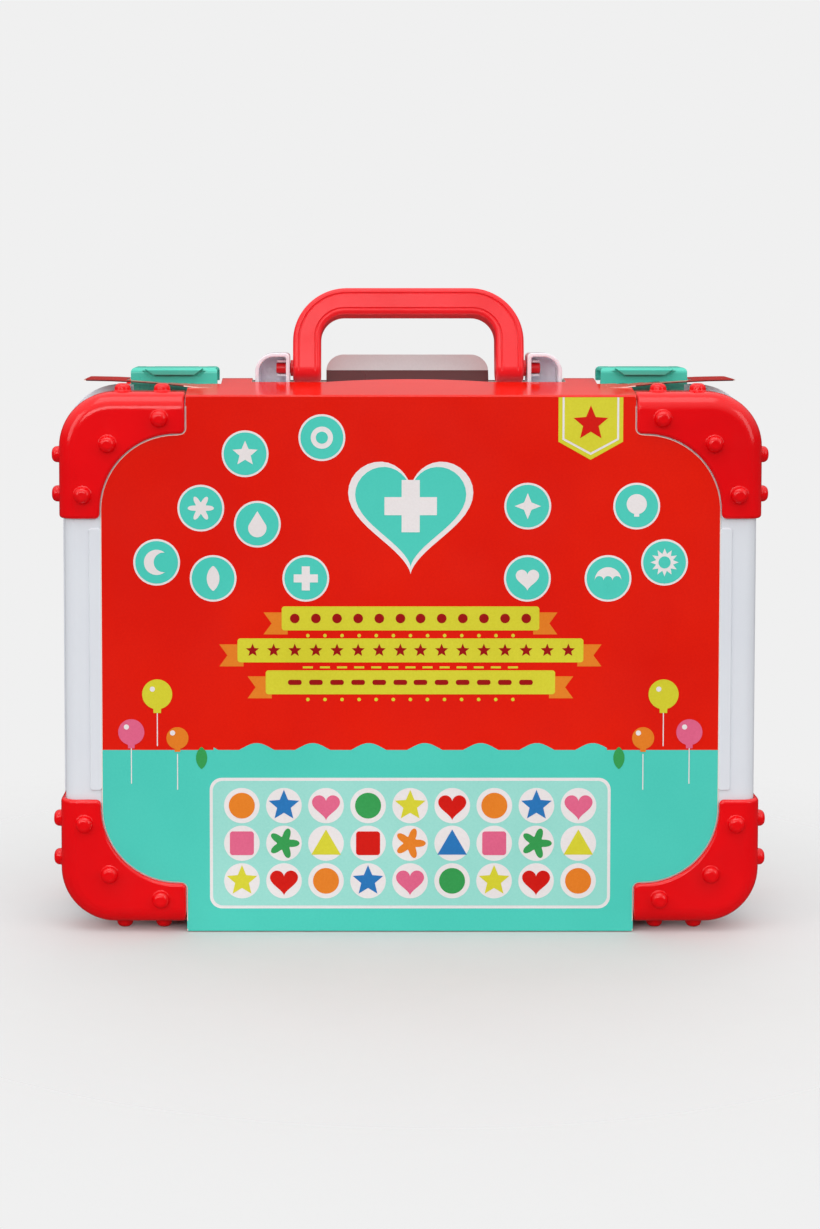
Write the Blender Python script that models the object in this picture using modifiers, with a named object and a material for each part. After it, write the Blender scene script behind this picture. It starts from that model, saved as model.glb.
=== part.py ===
"""A toy doctor case: two hinged plastic shells with studded corner protectors, a folding carrying
handle, two flip latches and a printed card sleeve. Metres, +Z up. The case stands on the studs of its
bottom edge, its back looks along -Y, and +X is to the right as seen from behind."""

import math

import bmesh
import bpy
from mathutils import Matrix

MM = 0.001

# The case across its corner protectors
CASE_WIDTH = 350 * MM
CASE_HEIGHT = 266.5 * MM
CASE_DEPTH = 90 * MM
CORNER_RADIUS = 27.5 * MM
EDGE_RADIUS = 9 * MM
CORNER_STEPS = 7
EDGE_STEPS = 4

# Clearances
TOUCH_GAP = 0.3 * MM
SEAM_GAP = 0.3 * MM
OVERRUN = 2 * MM
WELD = 0.02 * MM

# Studs of the protectors
STUD_RADIUS = 4.1 * MM
STUD_HEIGHT = 4 * MM
STUD_ROUNDING = 2 * MM
STUD_SIDES = 10
FACE_STUDS = [(50.6 * MM, 13 * MM), (25 * MM, 25.6 * MM), (12.6 * MM, 51 * MM)]
EDGE_STUDS = [31.5 * MM, 51.2 * MM]
EDGE_STUD_DEPTH = 13 * MM

# Corner protectors
GUARD_WALL = 2.2 * MM
GUARD_DEPTH = 26 * MM
GUARD_SIDE_WIDTH = 20.8 * MM
GUARD_TOP_WIDTH = 20.6 * MM
GUARD_ARC = 38.3 * MM
GUARD_LEG_RUN = 4 * MM
GUARD_END_RADIUS = 2.6 * MM
ARC_STEPS = 9

# Shells
SHELL_WALL = 2.2 * MM
RIM_PROUD = 2.2 * MM
RIM_WIDTH = 3 * MM
RIB_WIDTH = 6.1 * MM
RIB_HEIGHT = 0.8 * MM
RIB_LENGTH = 131.5 * MM
RIB_EDGE_GAP = 1.2 * MM

# Bottom hinge
HINGE_HEIGHT = 3 * MM
KNUCKLE_RADIUS = 2.5 * MM
HINGE_PIN_RADIUS = 1.2 * MM
HINGE_SIDE_DISTANCE = 105 * MM
FRONT_KNUCKLE = 16 * MM
REAR_KNUCKLE = 8 * MM
KNUCKLE_GAP = 0.6 * MM
KNUCKLE_ROOM = 0.4 * MM
WEB_SEAT_SHARE = 0.7
ROUND_SIDES = 20

# Handle
HANDLE_PIVOT = 12.9 * MM
HANDLE_LEAN = math.radians(10.5)
HANDLE_HALF_WIDTH = 59 * MM
HANDLE_RISE = 40.6 * MM
HANDLE_LEG = 14.4 * MM
HANDLE_BAR = 13.8 * MM
HANDLE_THICKNESS = 16 * MM
HANDLE_OUTER_RADIUS = 27.5 * MM
HANDLE_INNER_RADIUS = 12 * MM
HANDLE_FOOT_FLAT = 0.2 * MM
HANDLE_EDGE_ROUNDING = 2.2 * MM
HANDLE_GROOVE_INSET = 2.6 * MM
HANDLE_GROOVE_WIDTH = 1 * MM
HANDLE_GROOVE_DEPTH = 0.5 * MM
HUB_RADIUS = 4.15 * MM
HUB_LENGTH = 1.3 * MM
TRUNNION_RADIUS = 2.75 * MM
TRUNNION_LENGTH = 8.6 * MM

# Handle brackets
BRACKET_WIDTH = 17.6 * MM
BRACKET_HEIGHT = 20.5 * MM
BRACKET_DEPTH = 18 * MM
BRACKET_RADIUS = 7 * MM
BRACKET_INNER_RADIUS = 2.2 * MM
BRACKET_WALL = 1.9 * MM
FIN_THICKNESS = 1.1 * MM
FIN_LENGTH = 4.6 * MM
RIM_NOTCH_MARGIN = 2.2 * MM
RIM_NOTCH_SINK = 0.2 * MM

# Latches
LATCH_WIDTH = 43.8 * MM
LATCH_NEAR = 14.5 * MM
LATCH_FAR = 10.1 * MM
LATCH_TOP = 13.6 * MM
LATCH_WALL = 1.8 * MM
LATCH_SHOULDER = 3 * MM
LATCH_SIDE_ROUNDING = 2.2 * MM
LATCH_KNUCKLE_RADIUS = 2.6 * MM
LATCH_PIN_RADIUS = 1.2 * MM
LATCH_PIN_DROP = 4.7 * MM
LATCH_BEAD = 1.4 * MM
TAB_WIDTH = 22.5 * MM
TAB_REACH = 3.4 * MM
TAB_HEIGHT = 3.1 * MM
TAB_ROUNDING = 1.2 * MM
TAB_DROP = 0.35 * MM
EAR_OFFSET = 13.5 * MM
EAR_WIDTH = 4 * MM
CATCH_WIDTH = 26 * MM
CATCH_NEAR = 11.5 * MM
CATCH_THICKNESS = 2 * MM

# Card sleeve
CARD = 0.6 * MM
CARD_GAP = 1.2 * MM
CARD_FAR = 22 * MM
CARD_FLAP = 30 * MM
CARD_FLOOR_GAP = 0.6 * MM
CARD_FOLD_RISE = 0.6 * MM
CARD_BOW = 1.8 * MM
CARD_SHOULDER = 0.2 * MM
WING_SIDE_DISTANCE = 12 * MM
WING_RISE = 5 * MM
WING_ROOT_RISE = 1.2 * MM
WING_BEND = 12 * MM
WING_NEAR = 26 * MM
WING_FAR = 10 * MM
LATCH_NOTCH_MARGIN = 2 * MM
SLOT_MARGIN = 1.6 * MM
SLOT_BRIDGE = 2.5 * MM
SLOT_HALF_DEPTH = 11.3 * MM
TONGUE_HALF_WIDTH = 42 * MM
TONGUE_LENGTH = 13.5 * MM
TONGUE_LEAN = math.radians(24)
TONGUE_RADIUS = 9 * MM
TONGUE_FOOT = 2 * MM

# Places worked out from the sizes above
HALF_WIDTH = CASE_WIDTH / 2
HALF_DEPTH = CASE_DEPTH / 2
CASE_LOW = STUD_HEIGHT
CASE_HIGH = STUD_HEIGHT + CASE_HEIGHT
CASE_MIDDLE = (CASE_LOW + CASE_HIGH) / 2
SHELL_INSET = GUARD_WALL + TOUCH_GAP
SHELL_LOW = CASE_LOW + SHELL_INSET
SHELL_HIGH = CASE_HIGH - SHELL_INSET
SHELL_FACE = HALF_DEPTH - SHELL_INSET
RIM_HIGH = CASE_HIGH + RIM_PROUD
HINGE_STATION = HALF_WIDTH - HINGE_SIDE_DISTANCE
PIVOT_HEIGHT = SHELL_HIGH + HANDLE_PIVOT
HANDLE_FOOT = HANDLE_THICKNESS / 2 - HANDLE_FOOT_FLAT
BRACKET_NEAR_X = HANDLE_HALF_WIDTH + HUB_LENGTH + TOUCH_GAP
BRACKET_FAR_X = BRACKET_NEAR_X + BRACKET_WIDTH
BRACKET_LOW = SHELL_HIGH + TOUCH_GAP
LATCH_NEAREST = BRACKET_FAR_X + SLOT_MARGIN + SLOT_BRIDGE + LATCH_NOTCH_MARGIN + LATCH_WIDTH / 2
LATCH_FURTHEST = HALF_WIDTH - CORNER_RADIUS - EAR_OFFSET - EAR_WIDTH / 2
LATCH_CENTRE = (LATCH_NEAREST + LATCH_FURTHEST) / 2
LATCH_HIGH = SHELL_HIGH + LATCH_TOP
LATCH_LOW = RIM_HIGH + TOUCH_GAP
LATCH_PIN_Z = LATCH_HIGH - LATCH_PIN_DROP
LATCH_PIN_Y = LATCH_FAR - LATCH_KNUCKLE_RADIUS
GUARD_LEG_X = GUARD_SIDE_WIDTH + GUARD_ARC + GUARD_LEG_RUN
GUARD_LEG_Z = GUARD_TOP_WIDTH + GUARD_ARC + GUARD_LEG_RUN
CARD_PLANE = SHELL_FACE + TOUCH_GAP + CARD / 2
CARD_HALF_WIDTH = HALF_WIDTH - GUARD_SIDE_WIDTH - CARD_GAP
STRIP_HALF_WIDTH = HALF_WIDTH - GUARD_LEG_X - CARD_GAP
CARD_FOLD_HIGH = SHELL_HIGH + CARD_FOLD_RISE
CARD_CREST = RIM_HIGH + TOUCH_GAP + CARD / 2 + CARD_BOW
WING_REACH = HALF_WIDTH - WING_SIDE_DISTANCE


# Small tools


def new_mesh_object(name, bm, collection):
    mesh = bpy.data.meshes.new(name)
    bm.normal_update()
    bm.to_mesh(mesh)
    bm.free()
    made = bpy.data.objects.new(name, mesh)
    collection.objects.link(made)
    return made


def as_cutter(made):
    made.hide_render = True
    made.display_type = "WIRE"
    return made


def block(name, x_range, y_range, z_range, collection):
    """A box between two places along each axis."""
    ranges = [sorted(pair) for pair in (x_range, y_range, z_range)]
    bm = bmesh.new()
    bmesh.ops.create_cube(bm, size=1.0)
    sizes = [high - low for low, high in ranges]
    centre = [(low + high) / 2 for low, high in ranges]
    bmesh.ops.transform(bm, matrix=Matrix.LocRotScale(centre, None, sizes), verts=bm.verts)
    return new_mesh_object(name, bm, collection)


def rod(name, radius, centre, half_length, collection, sides=ROUND_SIDES):
    """A round bar along X."""
    bm = bmesh.new()
    bmesh.ops.create_cone(
        bm, cap_ends=True, segments=sides, radius1=radius, radius2=radius, depth=2 * half_length
    )
    turn = Matrix.Rotation(math.radians(90), 4, "Y")
    bmesh.ops.transform(bm, matrix=Matrix.Translation(centre) @ turn, verts=bm.verts)
    return new_mesh_object(name, bm, collection)


def rounded_slab(name, inset, near, far, corner, edge, collection):
    """A block the shape of the case, inset all round, its near face's edge rounded over."""
    bm = bmesh.new()
    bmesh.ops.create_cube(bm, size=1.0)
    sizes = (CASE_WIDTH - 2 * inset, abs(far - near), CASE_HEIGHT - 2 * inset)
    centre = (0, (near + far) / 2, CASE_MIDDLE)
    bmesh.ops.transform(bm, matrix=Matrix.LocRotScale(centre, None, sizes), verts=bm.verts)
    along_depth = [e for e in bm.edges if abs(e.verts[0].co.y - e.verts[1].co.y) > WELD]
    bmesh.ops.bevel(
        bm, geom=along_depth, offset=corner, segments=CORNER_STEPS, profile=0.5, affect="EDGES"
    )
    rim = [e for e in bm.edges if all(abs(v.co.y - near) < WELD for v in e.verts)]
    if edge > 0:
        bmesh.ops.bevel(
            bm, geom=rim, offset=edge, segments=EDGE_STEPS, profile=0.5, affect="EDGES"
        )
    bmesh.ops.recalc_face_normals(bm, faces=bm.faces)
    return new_mesh_object(name, bm, collection)


def arc(centre, radius, start, end, steps):
    """Points along part of a circle, both ends included, angles in degrees."""
    angles = [math.radians(start + (end - start) * i / steps) for i in range(steps + 1)]
    return [(centre[0] + radius * math.cos(a), centre[1] + radius * math.sin(a)) for a in angles]


def plate(name, outlines, thickness, plane, offset, collection):
    """A flat plate with these outlines, the first its edge and the rest holes, in the plane XY, XZ or YZ."""
    curve = bpy.data.curves.new(name, "CURVE")
    curve.dimensions = "2D"
    curve.fill_mode = "BOTH"
    curve.extrude = thickness / 2
    for outline in outlines:
        spline = curve.splines.new("POLY")
        spline.points.add(len(outline) - 1)
        for point, (u, v) in zip(spline.points, outline):
            point.co = (u, v, 0, 1)
        spline.use_cyclic_u = True
    drawn = bpy.data.objects.new(name, curve)
    collection.objects.link(drawn)
    bpy.context.view_layer.update()
    graph = bpy.context.evaluated_depsgraph_get()
    mesh = bpy.data.meshes.new_from_object(drawn.evaluated_get(graph))
    bpy.data.objects.remove(drawn)
    bm = bmesh.new()
    bm.from_mesh(mesh)
    bpy.data.meshes.remove(mesh)
    bmesh.ops.remove_doubles(bm, verts=bm.verts, dist=WELD / 10)
    bmesh.ops.dissolve_limit(bm, angle_limit=math.radians(1), verts=bm.verts, edges=bm.edges)
    turns = {
        "XY": Matrix.Identity(4),
        "XZ": Matrix.Rotation(math.radians(90), 4, "X"),
        "YZ": Matrix(((0, 0, 1, 0), (1, 0, 0, 0), (0, 1, 0, 0), (0, 0, 0, 1))),
    }
    shifts = {"XY": (0, 0, offset), "XZ": (0, offset, 0), "YZ": (offset, 0, 0)}
    bmesh.ops.transform(
        bm, matrix=Matrix.Translation(shifts[plane]) @ turns[plane], verts=bm.verts
    )
    bmesh.ops.recalc_face_normals(bm, faces=bm.faces)
    return new_mesh_object(name, bm, collection)


def combine(target, others, operation):
    for other in others:
        as_cutter(other)
        modifier = target.modifiers.new(other.name, "BOOLEAN")
        modifier.operation = operation
        modifier.object = other


def settle(made):
    """Replaces an object's modifiers by their result."""
    bpy.context.view_layer.update()
    graph = bpy.context.evaluated_depsgraph_get()
    mesh = bpy.data.meshes.new_from_object(made.evaluated_get(graph))
    made.modifiers.clear()
    made.data = mesh
    return made


def mirrored(source, name, signs, collection):
    """A copy of a mesh object, mirrored through the planes whose sign is -1."""
    bm = bmesh.new()
    bm.from_mesh(source.data)
    to_middle = Matrix.Translation((0, 0, -CASE_MIDDLE))
    flip = Matrix.Diagonal((*signs, 1))
    bmesh.ops.transform(bm, matrix=to_middle.inverted() @ flip @ to_middle, verts=bm.verts)
    if signs[0] * signs[1] * signs[2] < 0:
        bmesh.ops.reverse_faces(bm, faces=bm.faces)
    return new_mesh_object(name, bm, collection)


def origin_to(made, place):
    """Puts an object's origin at a place, its shape left where it is."""
    made.data.transform(Matrix.Translation(place).inverted())
    made.location = place


def plastic(name, colour, roughness):
    material = bpy.data.materials.new(name)
    material.use_nodes = True
    shader = material.node_tree.nodes["Principled BSDF"]
    shader.inputs["Base Color"].default_value = (*colour, 1)
    shader.inputs["Roughness"].default_value = roughness
    shader.inputs["Metallic"].default_value = 0
    return material


def finish(made, material):
    made.data.materials.clear()
    made.data.materials.append(material)
    made.data.shade_smooth()
    made.data.set_sharp_from_angle(angle=math.radians(35))
    return made


# Corner protectors


def guard_outline():
    """The protector of the top right corner as seen from behind: an L with a hollow inner arc."""
    out = HALF_WIDTH + STUD_HEIGHT
    up = CASE_HIGH + STUD_HEIGHT
    end_x = HALF_WIDTH - GUARD_LEG_X
    end_z = CASE_HIGH - GUARD_LEG_Z
    inner_x = HALF_WIDTH - GUARD_SIDE_WIDTH
    inner_z = CASE_HIGH - GUARD_TOP_WIDTH
    centre = (inner_x - GUARD_ARC, inner_z - GUARD_ARC)
    r = GUARD_END_RADIUS
    outline = [(out, up), (end_x, up)]
    outline += arc((end_x + r, inner_z + r), r, 180, 270, 4)
    outline += arc(centre, GUARD_ARC, 90, 0, ARC_STEPS)
    outline += arc((inner_x + r, end_z + r), r, 180, 270, 4)
    outline.append((out, end_z))
    return outline


def stud(name, place, direction, cutters):
    """A flat-topped button standing out of a wall."""
    bm = bmesh.new()
    depth = STUD_HEIGHT + GUARD_WALL / 2
    bmesh.ops.create_cone(
        bm,
        cap_ends=True,
        segments=STUD_SIDES,
        radius1=STUD_RADIUS,
        radius2=STUD_RADIUS,
        depth=depth,
    )
    rim = [e for e in bm.edges if all(v.co.z > 0 for v in e.verts)]
    bmesh.ops.bevel(bm, geom=rim, offset=STUD_ROUNDING, segments=2, profile=0.5, affect="EDGES")
    bmesh.ops.translate(bm, vec=(0, 0, STUD_HEIGHT - depth / 2), verts=bm.verts)
    turns = {
        "back": Matrix.Rotation(math.radians(90), 4, "X"),
        "side": Matrix.Rotation(math.radians(90), 4, "Y"),
        "top": Matrix.Identity(4),
    }
    bmesh.ops.transform(bm, matrix=Matrix.Translation(place) @ turns[direction], verts=bm.verts)
    return new_mesh_object(name, bm, cutters)


def rear_top_right_guard(cutters):
    """One protector: the case's outer skin inside the L outline, less the shell it sits on."""
    guard = plate(
        "guard_blank",
        [guard_outline()],
        GUARD_DEPTH + OVERRUN,
        "XZ",
        -HALF_DEPTH + (GUARD_DEPTH - OVERRUN) / 2,
        cutters,
    )
    skin = rounded_slab(
        "guard_skin", 0, -HALF_DEPTH, OVERRUN, CORNER_RADIUS, EDGE_RADIUS, cutters
    )
    hollow = rounded_slab(
        "guard_hollow",
        GUARD_WALL,
        -HALF_DEPTH + GUARD_WALL,
        OVERRUN,
        CORNER_RADIUS - GUARD_WALL,
        EDGE_RADIUS - GUARD_WALL,
        cutters,
    )
    combine(guard, [skin], "INTERSECT")
    combine(guard, [hollow], "DIFFERENCE")
    studs = []
    for index, (across, down) in enumerate(FACE_STUDS):
        place = (HALF_WIDTH - across, -HALF_DEPTH, CASE_HIGH - down)
        studs.append(stud(f"face_stud_{index}", place, "back", cutters))
    for index, along in enumerate(EDGE_STUDS):
        depth = -HALF_DEPTH + EDGE_STUD_DEPTH
        top = (HALF_WIDTH - along, depth, CASE_HIGH)
        side = (HALF_WIDTH, depth, CASE_HIGH - along)
        studs.append(stud(f"top_stud_{index}", top, "top", cutters))
        studs.append(stud(f"side_stud_{index}", side, "side", cutters))
    combine(guard, studs, "UNION")
    return settle(guard)


def make_guards(parts, cutters, red):
    pattern = as_cutter(rear_top_right_guard(cutters))
    for depth_name, depth_sign in (("rear", 1), ("front", -1)):
        for height_name, height_sign in (("top", 1), ("bottom", -1)):
            for side_name, side_sign in (("left", -1), ("right", 1)):
                name = f"{depth_name}_corner_{height_name}_{side_name}"
                signs = (side_sign, depth_sign, height_sign)
                finish(mirrored(pattern, name, signs, parts), red)


# Shells


def seam_rim(name, cutters):
    """The flange round a shell's open side, standing a little proud of the protectors."""
    outer = SEAM_GAP / 2 + RIM_WIDTH
    radius = CORNER_RADIUS + RIM_PROUD
    return rounded_slab(name, -RIM_PROUD, -outer, -SEAM_GAP / 2, radius, 0, cutters)


def side_ribs(name, cutters):
    """The raised bar up each side margin of a shell's face."""
    near = HALF_WIDTH - GUARD_SIDE_WIDTH - CARD_GAP + RIB_EDGE_GAP / 2
    ribs = []
    for side in (-1, 1):
        ribs.append(
            block(
                f"{name}_{side}",
                (side * near, side * (near + RIB_WIDTH)),
                (-SHELL_FACE - RIB_HEIGHT, -SHELL_FACE + SHELL_WALL / 2),
                (CASE_MIDDLE - RIB_LENGTH / 2, CASE_MIDDLE + RIB_LENGTH / 2),
                cutters,
            )
        )
    return ribs


def blank_shell(name, parts, cutters):
    """A tray open at the seam, with its rim and side ribs joined on."""
    mouth_depth = -(SEAM_GAP + RIM_WIDTH) / 2
    inner = SHELL_INSET + SHELL_WALL
    shell = rounded_slab(
        name,
        SHELL_INSET,
        -SHELL_FACE,
        mouth_depth,
        CORNER_RADIUS - SHELL_INSET,
        EDGE_RADIUS - SHELL_INSET,
        parts,
    )
    room = rounded_slab(
        f"{name}_room",
        inner,
        -SHELL_FACE + SHELL_WALL,
        OVERRUN,
        CORNER_RADIUS - inner,
        EDGE_RADIUS - inner,
        cutters,
    )
    combine(shell, [seam_rim(f"{name}_rim", cutters)], "UNION")
    combine(shell, side_ribs(f"{name}_rib", cutters), "UNION")
    combine(shell, [room], "DIFFERENCE")
    return shell


def rim_notches(name, cutters):
    """Clears the top rim for the handle's feet and brackets, and trims the bottom rim above the hinge."""
    notches = []
    inner = HANDLE_HALF_WIDTH - HANDLE_LEG - RIM_NOTCH_MARGIN
    outer = BRACKET_FAR_X + RIM_NOTCH_MARGIN
    depth = (-RIM_WIDTH - OVERRUN, OVERRUN)
    for side in (-1, 1):
        notches.append(
            block(
                f"{name}_top_{side}",
                (side * inner, side * outer),
                depth,
                (SHELL_HIGH - RIM_NOTCH_SINK, RIM_HIGH + OVERRUN),
                cutters,
            )
        )
    low = (CASE_LOW - RIM_PROUD - OVERRUN, HINGE_HEIGHT + TOUCH_GAP)
    width = (-HALF_WIDTH - OVERRUN, HALF_WIDTH + OVERRUN)
    notches.append(block(f"{name}_bottom", width, depth, low, cutters))
    return notches


def knuckle_places(front):
    """Middle and half length of each knuckle of one shell."""
    places = []
    for side in (-1, 1):
        middle = side * HINGE_STATION
        if front:
            places.append((middle, FRONT_KNUCKLE / 2))
            continue
        reach = FRONT_KNUCKLE / 2 + KNUCKLE_GAP + REAR_KNUCKLE / 2
        places += [(middle - reach, REAR_KNUCKLE / 2), (middle + reach, REAR_KNUCKLE / 2)]
    return places


def knuckle_outline():
    """The side view of a rear knuckle: round under the seam, with a web up to the shell's bottom."""
    top = SHELL_LOW + SHELL_WALL * WEB_SEAT_SHARE
    shoulder = math.degrees(math.acos(-SEAM_GAP / KNUCKLE_RADIUS))
    barrel = arc((0, HINGE_HEIGHT), KNUCKLE_RADIUS, -180, shoulder, 14)
    return [(-KNUCKLE_RADIUS, top), *barrel, (-SEAM_GAP, top)]


def add_knuckles(shell, front, cutters):
    """Hinge knuckles hung from the shell's bottom, with room cut in the rim for the other shell's."""
    name = shell.name
    for index, (middle, half) in enumerate(knuckle_places(not front)):
        room = block(
            f"{name}_knuckle_room_{index}",
            (middle - half - KNUCKLE_ROOM, middle + half + KNUCKLE_ROOM),
            (-RIM_WIDTH - OVERRUN, OVERRUN),
            (CASE_LOW - RIM_PROUD - OVERRUN, HINGE_HEIGHT + KNUCKLE_RADIUS + TOUCH_GAP),
            cutters,
        )
        combine(shell, [room], "DIFFERENCE")
    for index, (middle, half) in enumerate(knuckle_places(front)):
        knuckle = plate(
            f"{name}_knuckle_{index}", [knuckle_outline()], 2 * half, "YZ", middle, cutters
        )
        combine(shell, [knuckle], "UNION")
        bore = rod(
            f"{name}_knuckle_bore_{index}",
            HINGE_PIN_RADIUS + TOUCH_GAP,
            (middle, 0, HINGE_HEIGHT),
            half + OVERRUN / 10,
            cutters,
        )
        combine(shell, [bore], "DIFFERENCE")


def catch_ribs(cutters):
    """The upright ribs on the rear shell's top that the latches snap over."""
    ribs = []
    for side in (-1, 1):
        middle = side * LATCH_CENTRE
        ribs.append(
            block(
                f"catch_{side}",
                (middle - CATCH_WIDTH / 2, middle + CATCH_WIDTH / 2),
                (-CATCH_NEAR, -CATCH_NEAR + CATCH_THICKNESS),
                (SHELL_HIGH - SHELL_WALL / 2, RIM_HIGH - TOUCH_GAP),
                cutters,
            )
        )
    return ribs


def ear_outline(margin):
    """The side view of an ear that carries a latch pin, for the far side of the seam."""
    radius = LATCH_KNUCKLE_RADIUS + margin
    low = SHELL_HIGH - SHELL_WALL / 2
    outline = arc((LATCH_PIN_Y, LATCH_PIN_Z), radius, 180, 0, 8)
    return outline + [(LATCH_PIN_Y + radius, low), (LATCH_PIN_Y - radius, low)]


def latch_ears(cutters):
    ears = []
    for side in (-1, 1):
        for offset in (-EAR_OFFSET, EAR_OFFSET):
            middle = side * LATCH_CENTRE + offset
            name = f"ear_{side}_{offset > 0}"
            ears.append(plate(name, [ear_outline(0)], EAR_WIDTH, "YZ", middle, cutters))
    return ears


def pin_bores(cutters):
    """The holes for the latch pins, through ears or latches alike."""
    reach = LATCH_WIDTH / 2 + OVERRUN
    radius = LATCH_PIN_RADIUS + TOUCH_GAP
    bores = []
    for side in (-1, 1):
        centre = (side * LATCH_CENTRE, LATCH_PIN_Y, LATCH_PIN_Z)
        bores.append(rod(f"latch_bore_{side}", radius, centre, reach, cutters))
    return bores


def make_shells(parts, cutters, white):
    rear = blank_shell("rear_shell", parts, cutters)
    combine(rear, rim_notches("rear_notch", cutters), "DIFFERENCE")
    add_knuckles(rear, False, cutters)
    combine(rear, catch_ribs(cutters), "UNION")
    finish(settle(rear), white)

    blank = blank_shell("front_blank", cutters, cutters)
    combine(blank, rim_notches("front_notch", cutters), "DIFFERENCE")
    add_knuckles(blank, True, cutters)
    front = mirrored(as_cutter(settle(blank)), "front_shell", (1, -1, 1), parts)
    combine(front, latch_ears(cutters), "UNION")
    combine(front, pin_bores(cutters), "DIFFERENCE")
    finish(settle(front), white)
    origin_to(front, (0, 0, HINGE_HEIGHT))


def make_hinge_pins(parts, steel):
    half = FRONT_KNUCKLE / 2 + KNUCKLE_GAP + REAR_KNUCKLE
    for side_name, side in (("left", -1), ("right", 1)):
        centre = (side * HINGE_STATION, 0, HINGE_HEIGHT)
        name = f"hinge_pin_{side_name}"
        finish(rod(name, HINGE_PIN_RADIUS, centre, half, parts, ROUND_SIDES // 2), steel)


# Handle and its brackets


def handle_outline(inset):
    """The handle's U in the upright plane, its pivot at height zero, inset from every edge."""
    outer = HANDLE_HALF_WIDTH - inset
    inner = HANDLE_HALF_WIDTH - HANDLE_LEG + inset
    top = HANDLE_RISE - inset
    under = HANDLE_RISE - HANDLE_BAR + inset
    round_out = HANDLE_OUTER_RADIUS - inset
    round_in = HANDLE_INNER_RADIUS + inset
    foot = -HANDLE_FOOT + inset
    points = [(-outer, foot)]
    points += arc((-outer + round_out, top - round_out), round_out, 180, 90, 8)
    points += arc((outer - round_out, top - round_out), round_out, 90, 0, 8)
    points += [(outer, foot), (inner, foot)]
    points += arc((inner - round_in, under - round_in), round_in, 0, 90, 6)
    points += arc((-inner + round_in, under - round_in), round_in, 90, 180, 6)
    points.append((-inner, foot))
    return points


def make_handle(parts, cutters, red):
    """A flat U with rounded edges and feet, trunnions on its pivot axis and a groove round each face."""
    handle = plate("handle", [handle_outline(0)], HANDLE_THICKNESS, "XZ", 0, parts)
    bm = bmesh.new()
    bm.from_mesh(handle.data)
    feet = [
        e
        for e in bm.edges
        if all(v.co.z < -HANDLE_FOOT + WELD for v in e.verts)
        and abs(e.verts[0].co.y - e.verts[1].co.y) < WELD
    ]
    bmesh.ops.bevel(
        bm, geom=feet, offset=HANDLE_FOOT, segments=5, profile=0.5, affect="EDGES"
    )
    bm.to_mesh(handle.data)
    bm.free()
    soften = handle.modifiers.new("soften", "BEVEL")
    soften.width = HANDLE_EDGE_ROUNDING
    soften.segments = 2
    soften.limit_method = "ANGLE"
    soften.angle_limit = math.radians(60)
    for side in (-1, 1):
        hub = rod(
            f"hub_{side}",
            HUB_RADIUS,
            (side * (HANDLE_HALF_WIDTH - HANDLE_EDGE_ROUNDING), 0, 0),
            HUB_LENGTH + HANDLE_EDGE_ROUNDING,
            cutters,
        )
        trunnion = rod(
            f"trunnion_{side}",
            TRUNNION_RADIUS,
            (side * HANDLE_HALF_WIDTH, 0, 0),
            TRUNNION_LENGTH,
            cutters,
        )
        combine(handle, [hub, trunnion], "UNION")
    for side in (-1, 1):
        band = [
            handle_outline(HANDLE_GROOVE_INSET),
            handle_outline(HANDLE_GROOVE_INSET + HANDLE_GROOVE_WIDTH),
        ]
        depth = 2 * HANDLE_GROOVE_DEPTH
        face = side * HANDLE_THICKNESS / 2
        groove = plate(f"groove_{side}", band, depth, "XZ", face, cutters)
        combine(handle, [groove], "DIFFERENCE")
    finish(settle(handle), red)
    handle.location = (0, 0, PIVOT_HEIGHT)
    handle.rotation_euler = (-HANDLE_LEAN, 0, 0)


def bracket_outline(inset, radius, inner_radius):
    """The upright D of a handle bracket on the right side, inset from every edge."""
    near = BRACKET_NEAR_X + inset
    far = BRACKET_FAR_X - inset
    low = BRACKET_LOW + inset
    high = BRACKET_LOW + BRACKET_HEIGHT - inset
    points = [(far, low)]
    points += arc((far - radius, high - radius), radius, 0, 90, 6)
    points += arc((near + inner_radius, high - inner_radius), inner_radius, 90, 180, 3)
    points.append((near, low))
    return points


def make_brackets(parts, cutters, white):
    """Hollow cups open to the back, each holding a trunnion between two snap fins."""
    outline = bracket_outline(0, BRACKET_RADIUS, BRACKET_INNER_RADIUS)
    cup = plate("cup", [outline], BRACKET_DEPTH, "XZ", 0, cutters)
    inner = bracket_outline(
        BRACKET_WALL, BRACKET_RADIUS - BRACKET_WALL, BRACKET_INNER_RADIUS - BRACKET_WALL / 2
    )
    hollow_depth = BRACKET_DEPTH - BRACKET_WALL + OVERRUN
    hollow_middle = -BRACKET_WALL / 2 - OVERRUN / 2
    hollow = plate("cup_hollow", [inner], hollow_depth, "XZ", hollow_middle, cutters)
    combine(cup, [hollow], "DIFFERENCE")
    start = BRACKET_NEAR_X + BRACKET_WALL / 2
    end = BRACKET_NEAR_X + BRACKET_WALL + FIN_LENGTH
    reach = TRUNNION_RADIUS + TOUCH_GAP
    fins = []
    for direction in (-1, 1):
        fins.append(
            block(
                f"cup_fin_{direction}",
                (start, end),
                (-BRACKET_DEPTH / 4, BRACKET_DEPTH / 2 - BRACKET_WALL / 2),
                (
                    PIVOT_HEIGHT + direction * reach,
                    PIVOT_HEIGHT + direction * (reach + FIN_THICKNESS),
                ),
                cutters,
            )
        )
    combine(cup, fins, "UNION")
    bore = rod(
        "cup_bore",
        TRUNNION_RADIUS + TOUCH_GAP,
        (BRACKET_NEAR_X, 0, PIVOT_HEIGHT),
        BRACKET_WALL + OVERRUN / 2,
        cutters,
    )
    combine(cup, [bore], "DIFFERENCE")
    pattern = as_cutter(settle(cup))
    finish(mirrored(pattern, "handle_bracket_right", (1, 1, 1), parts), white)
    finish(mirrored(pattern, "handle_bracket_left", (-1, 1, 1), parts), white)


# Latches


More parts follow.
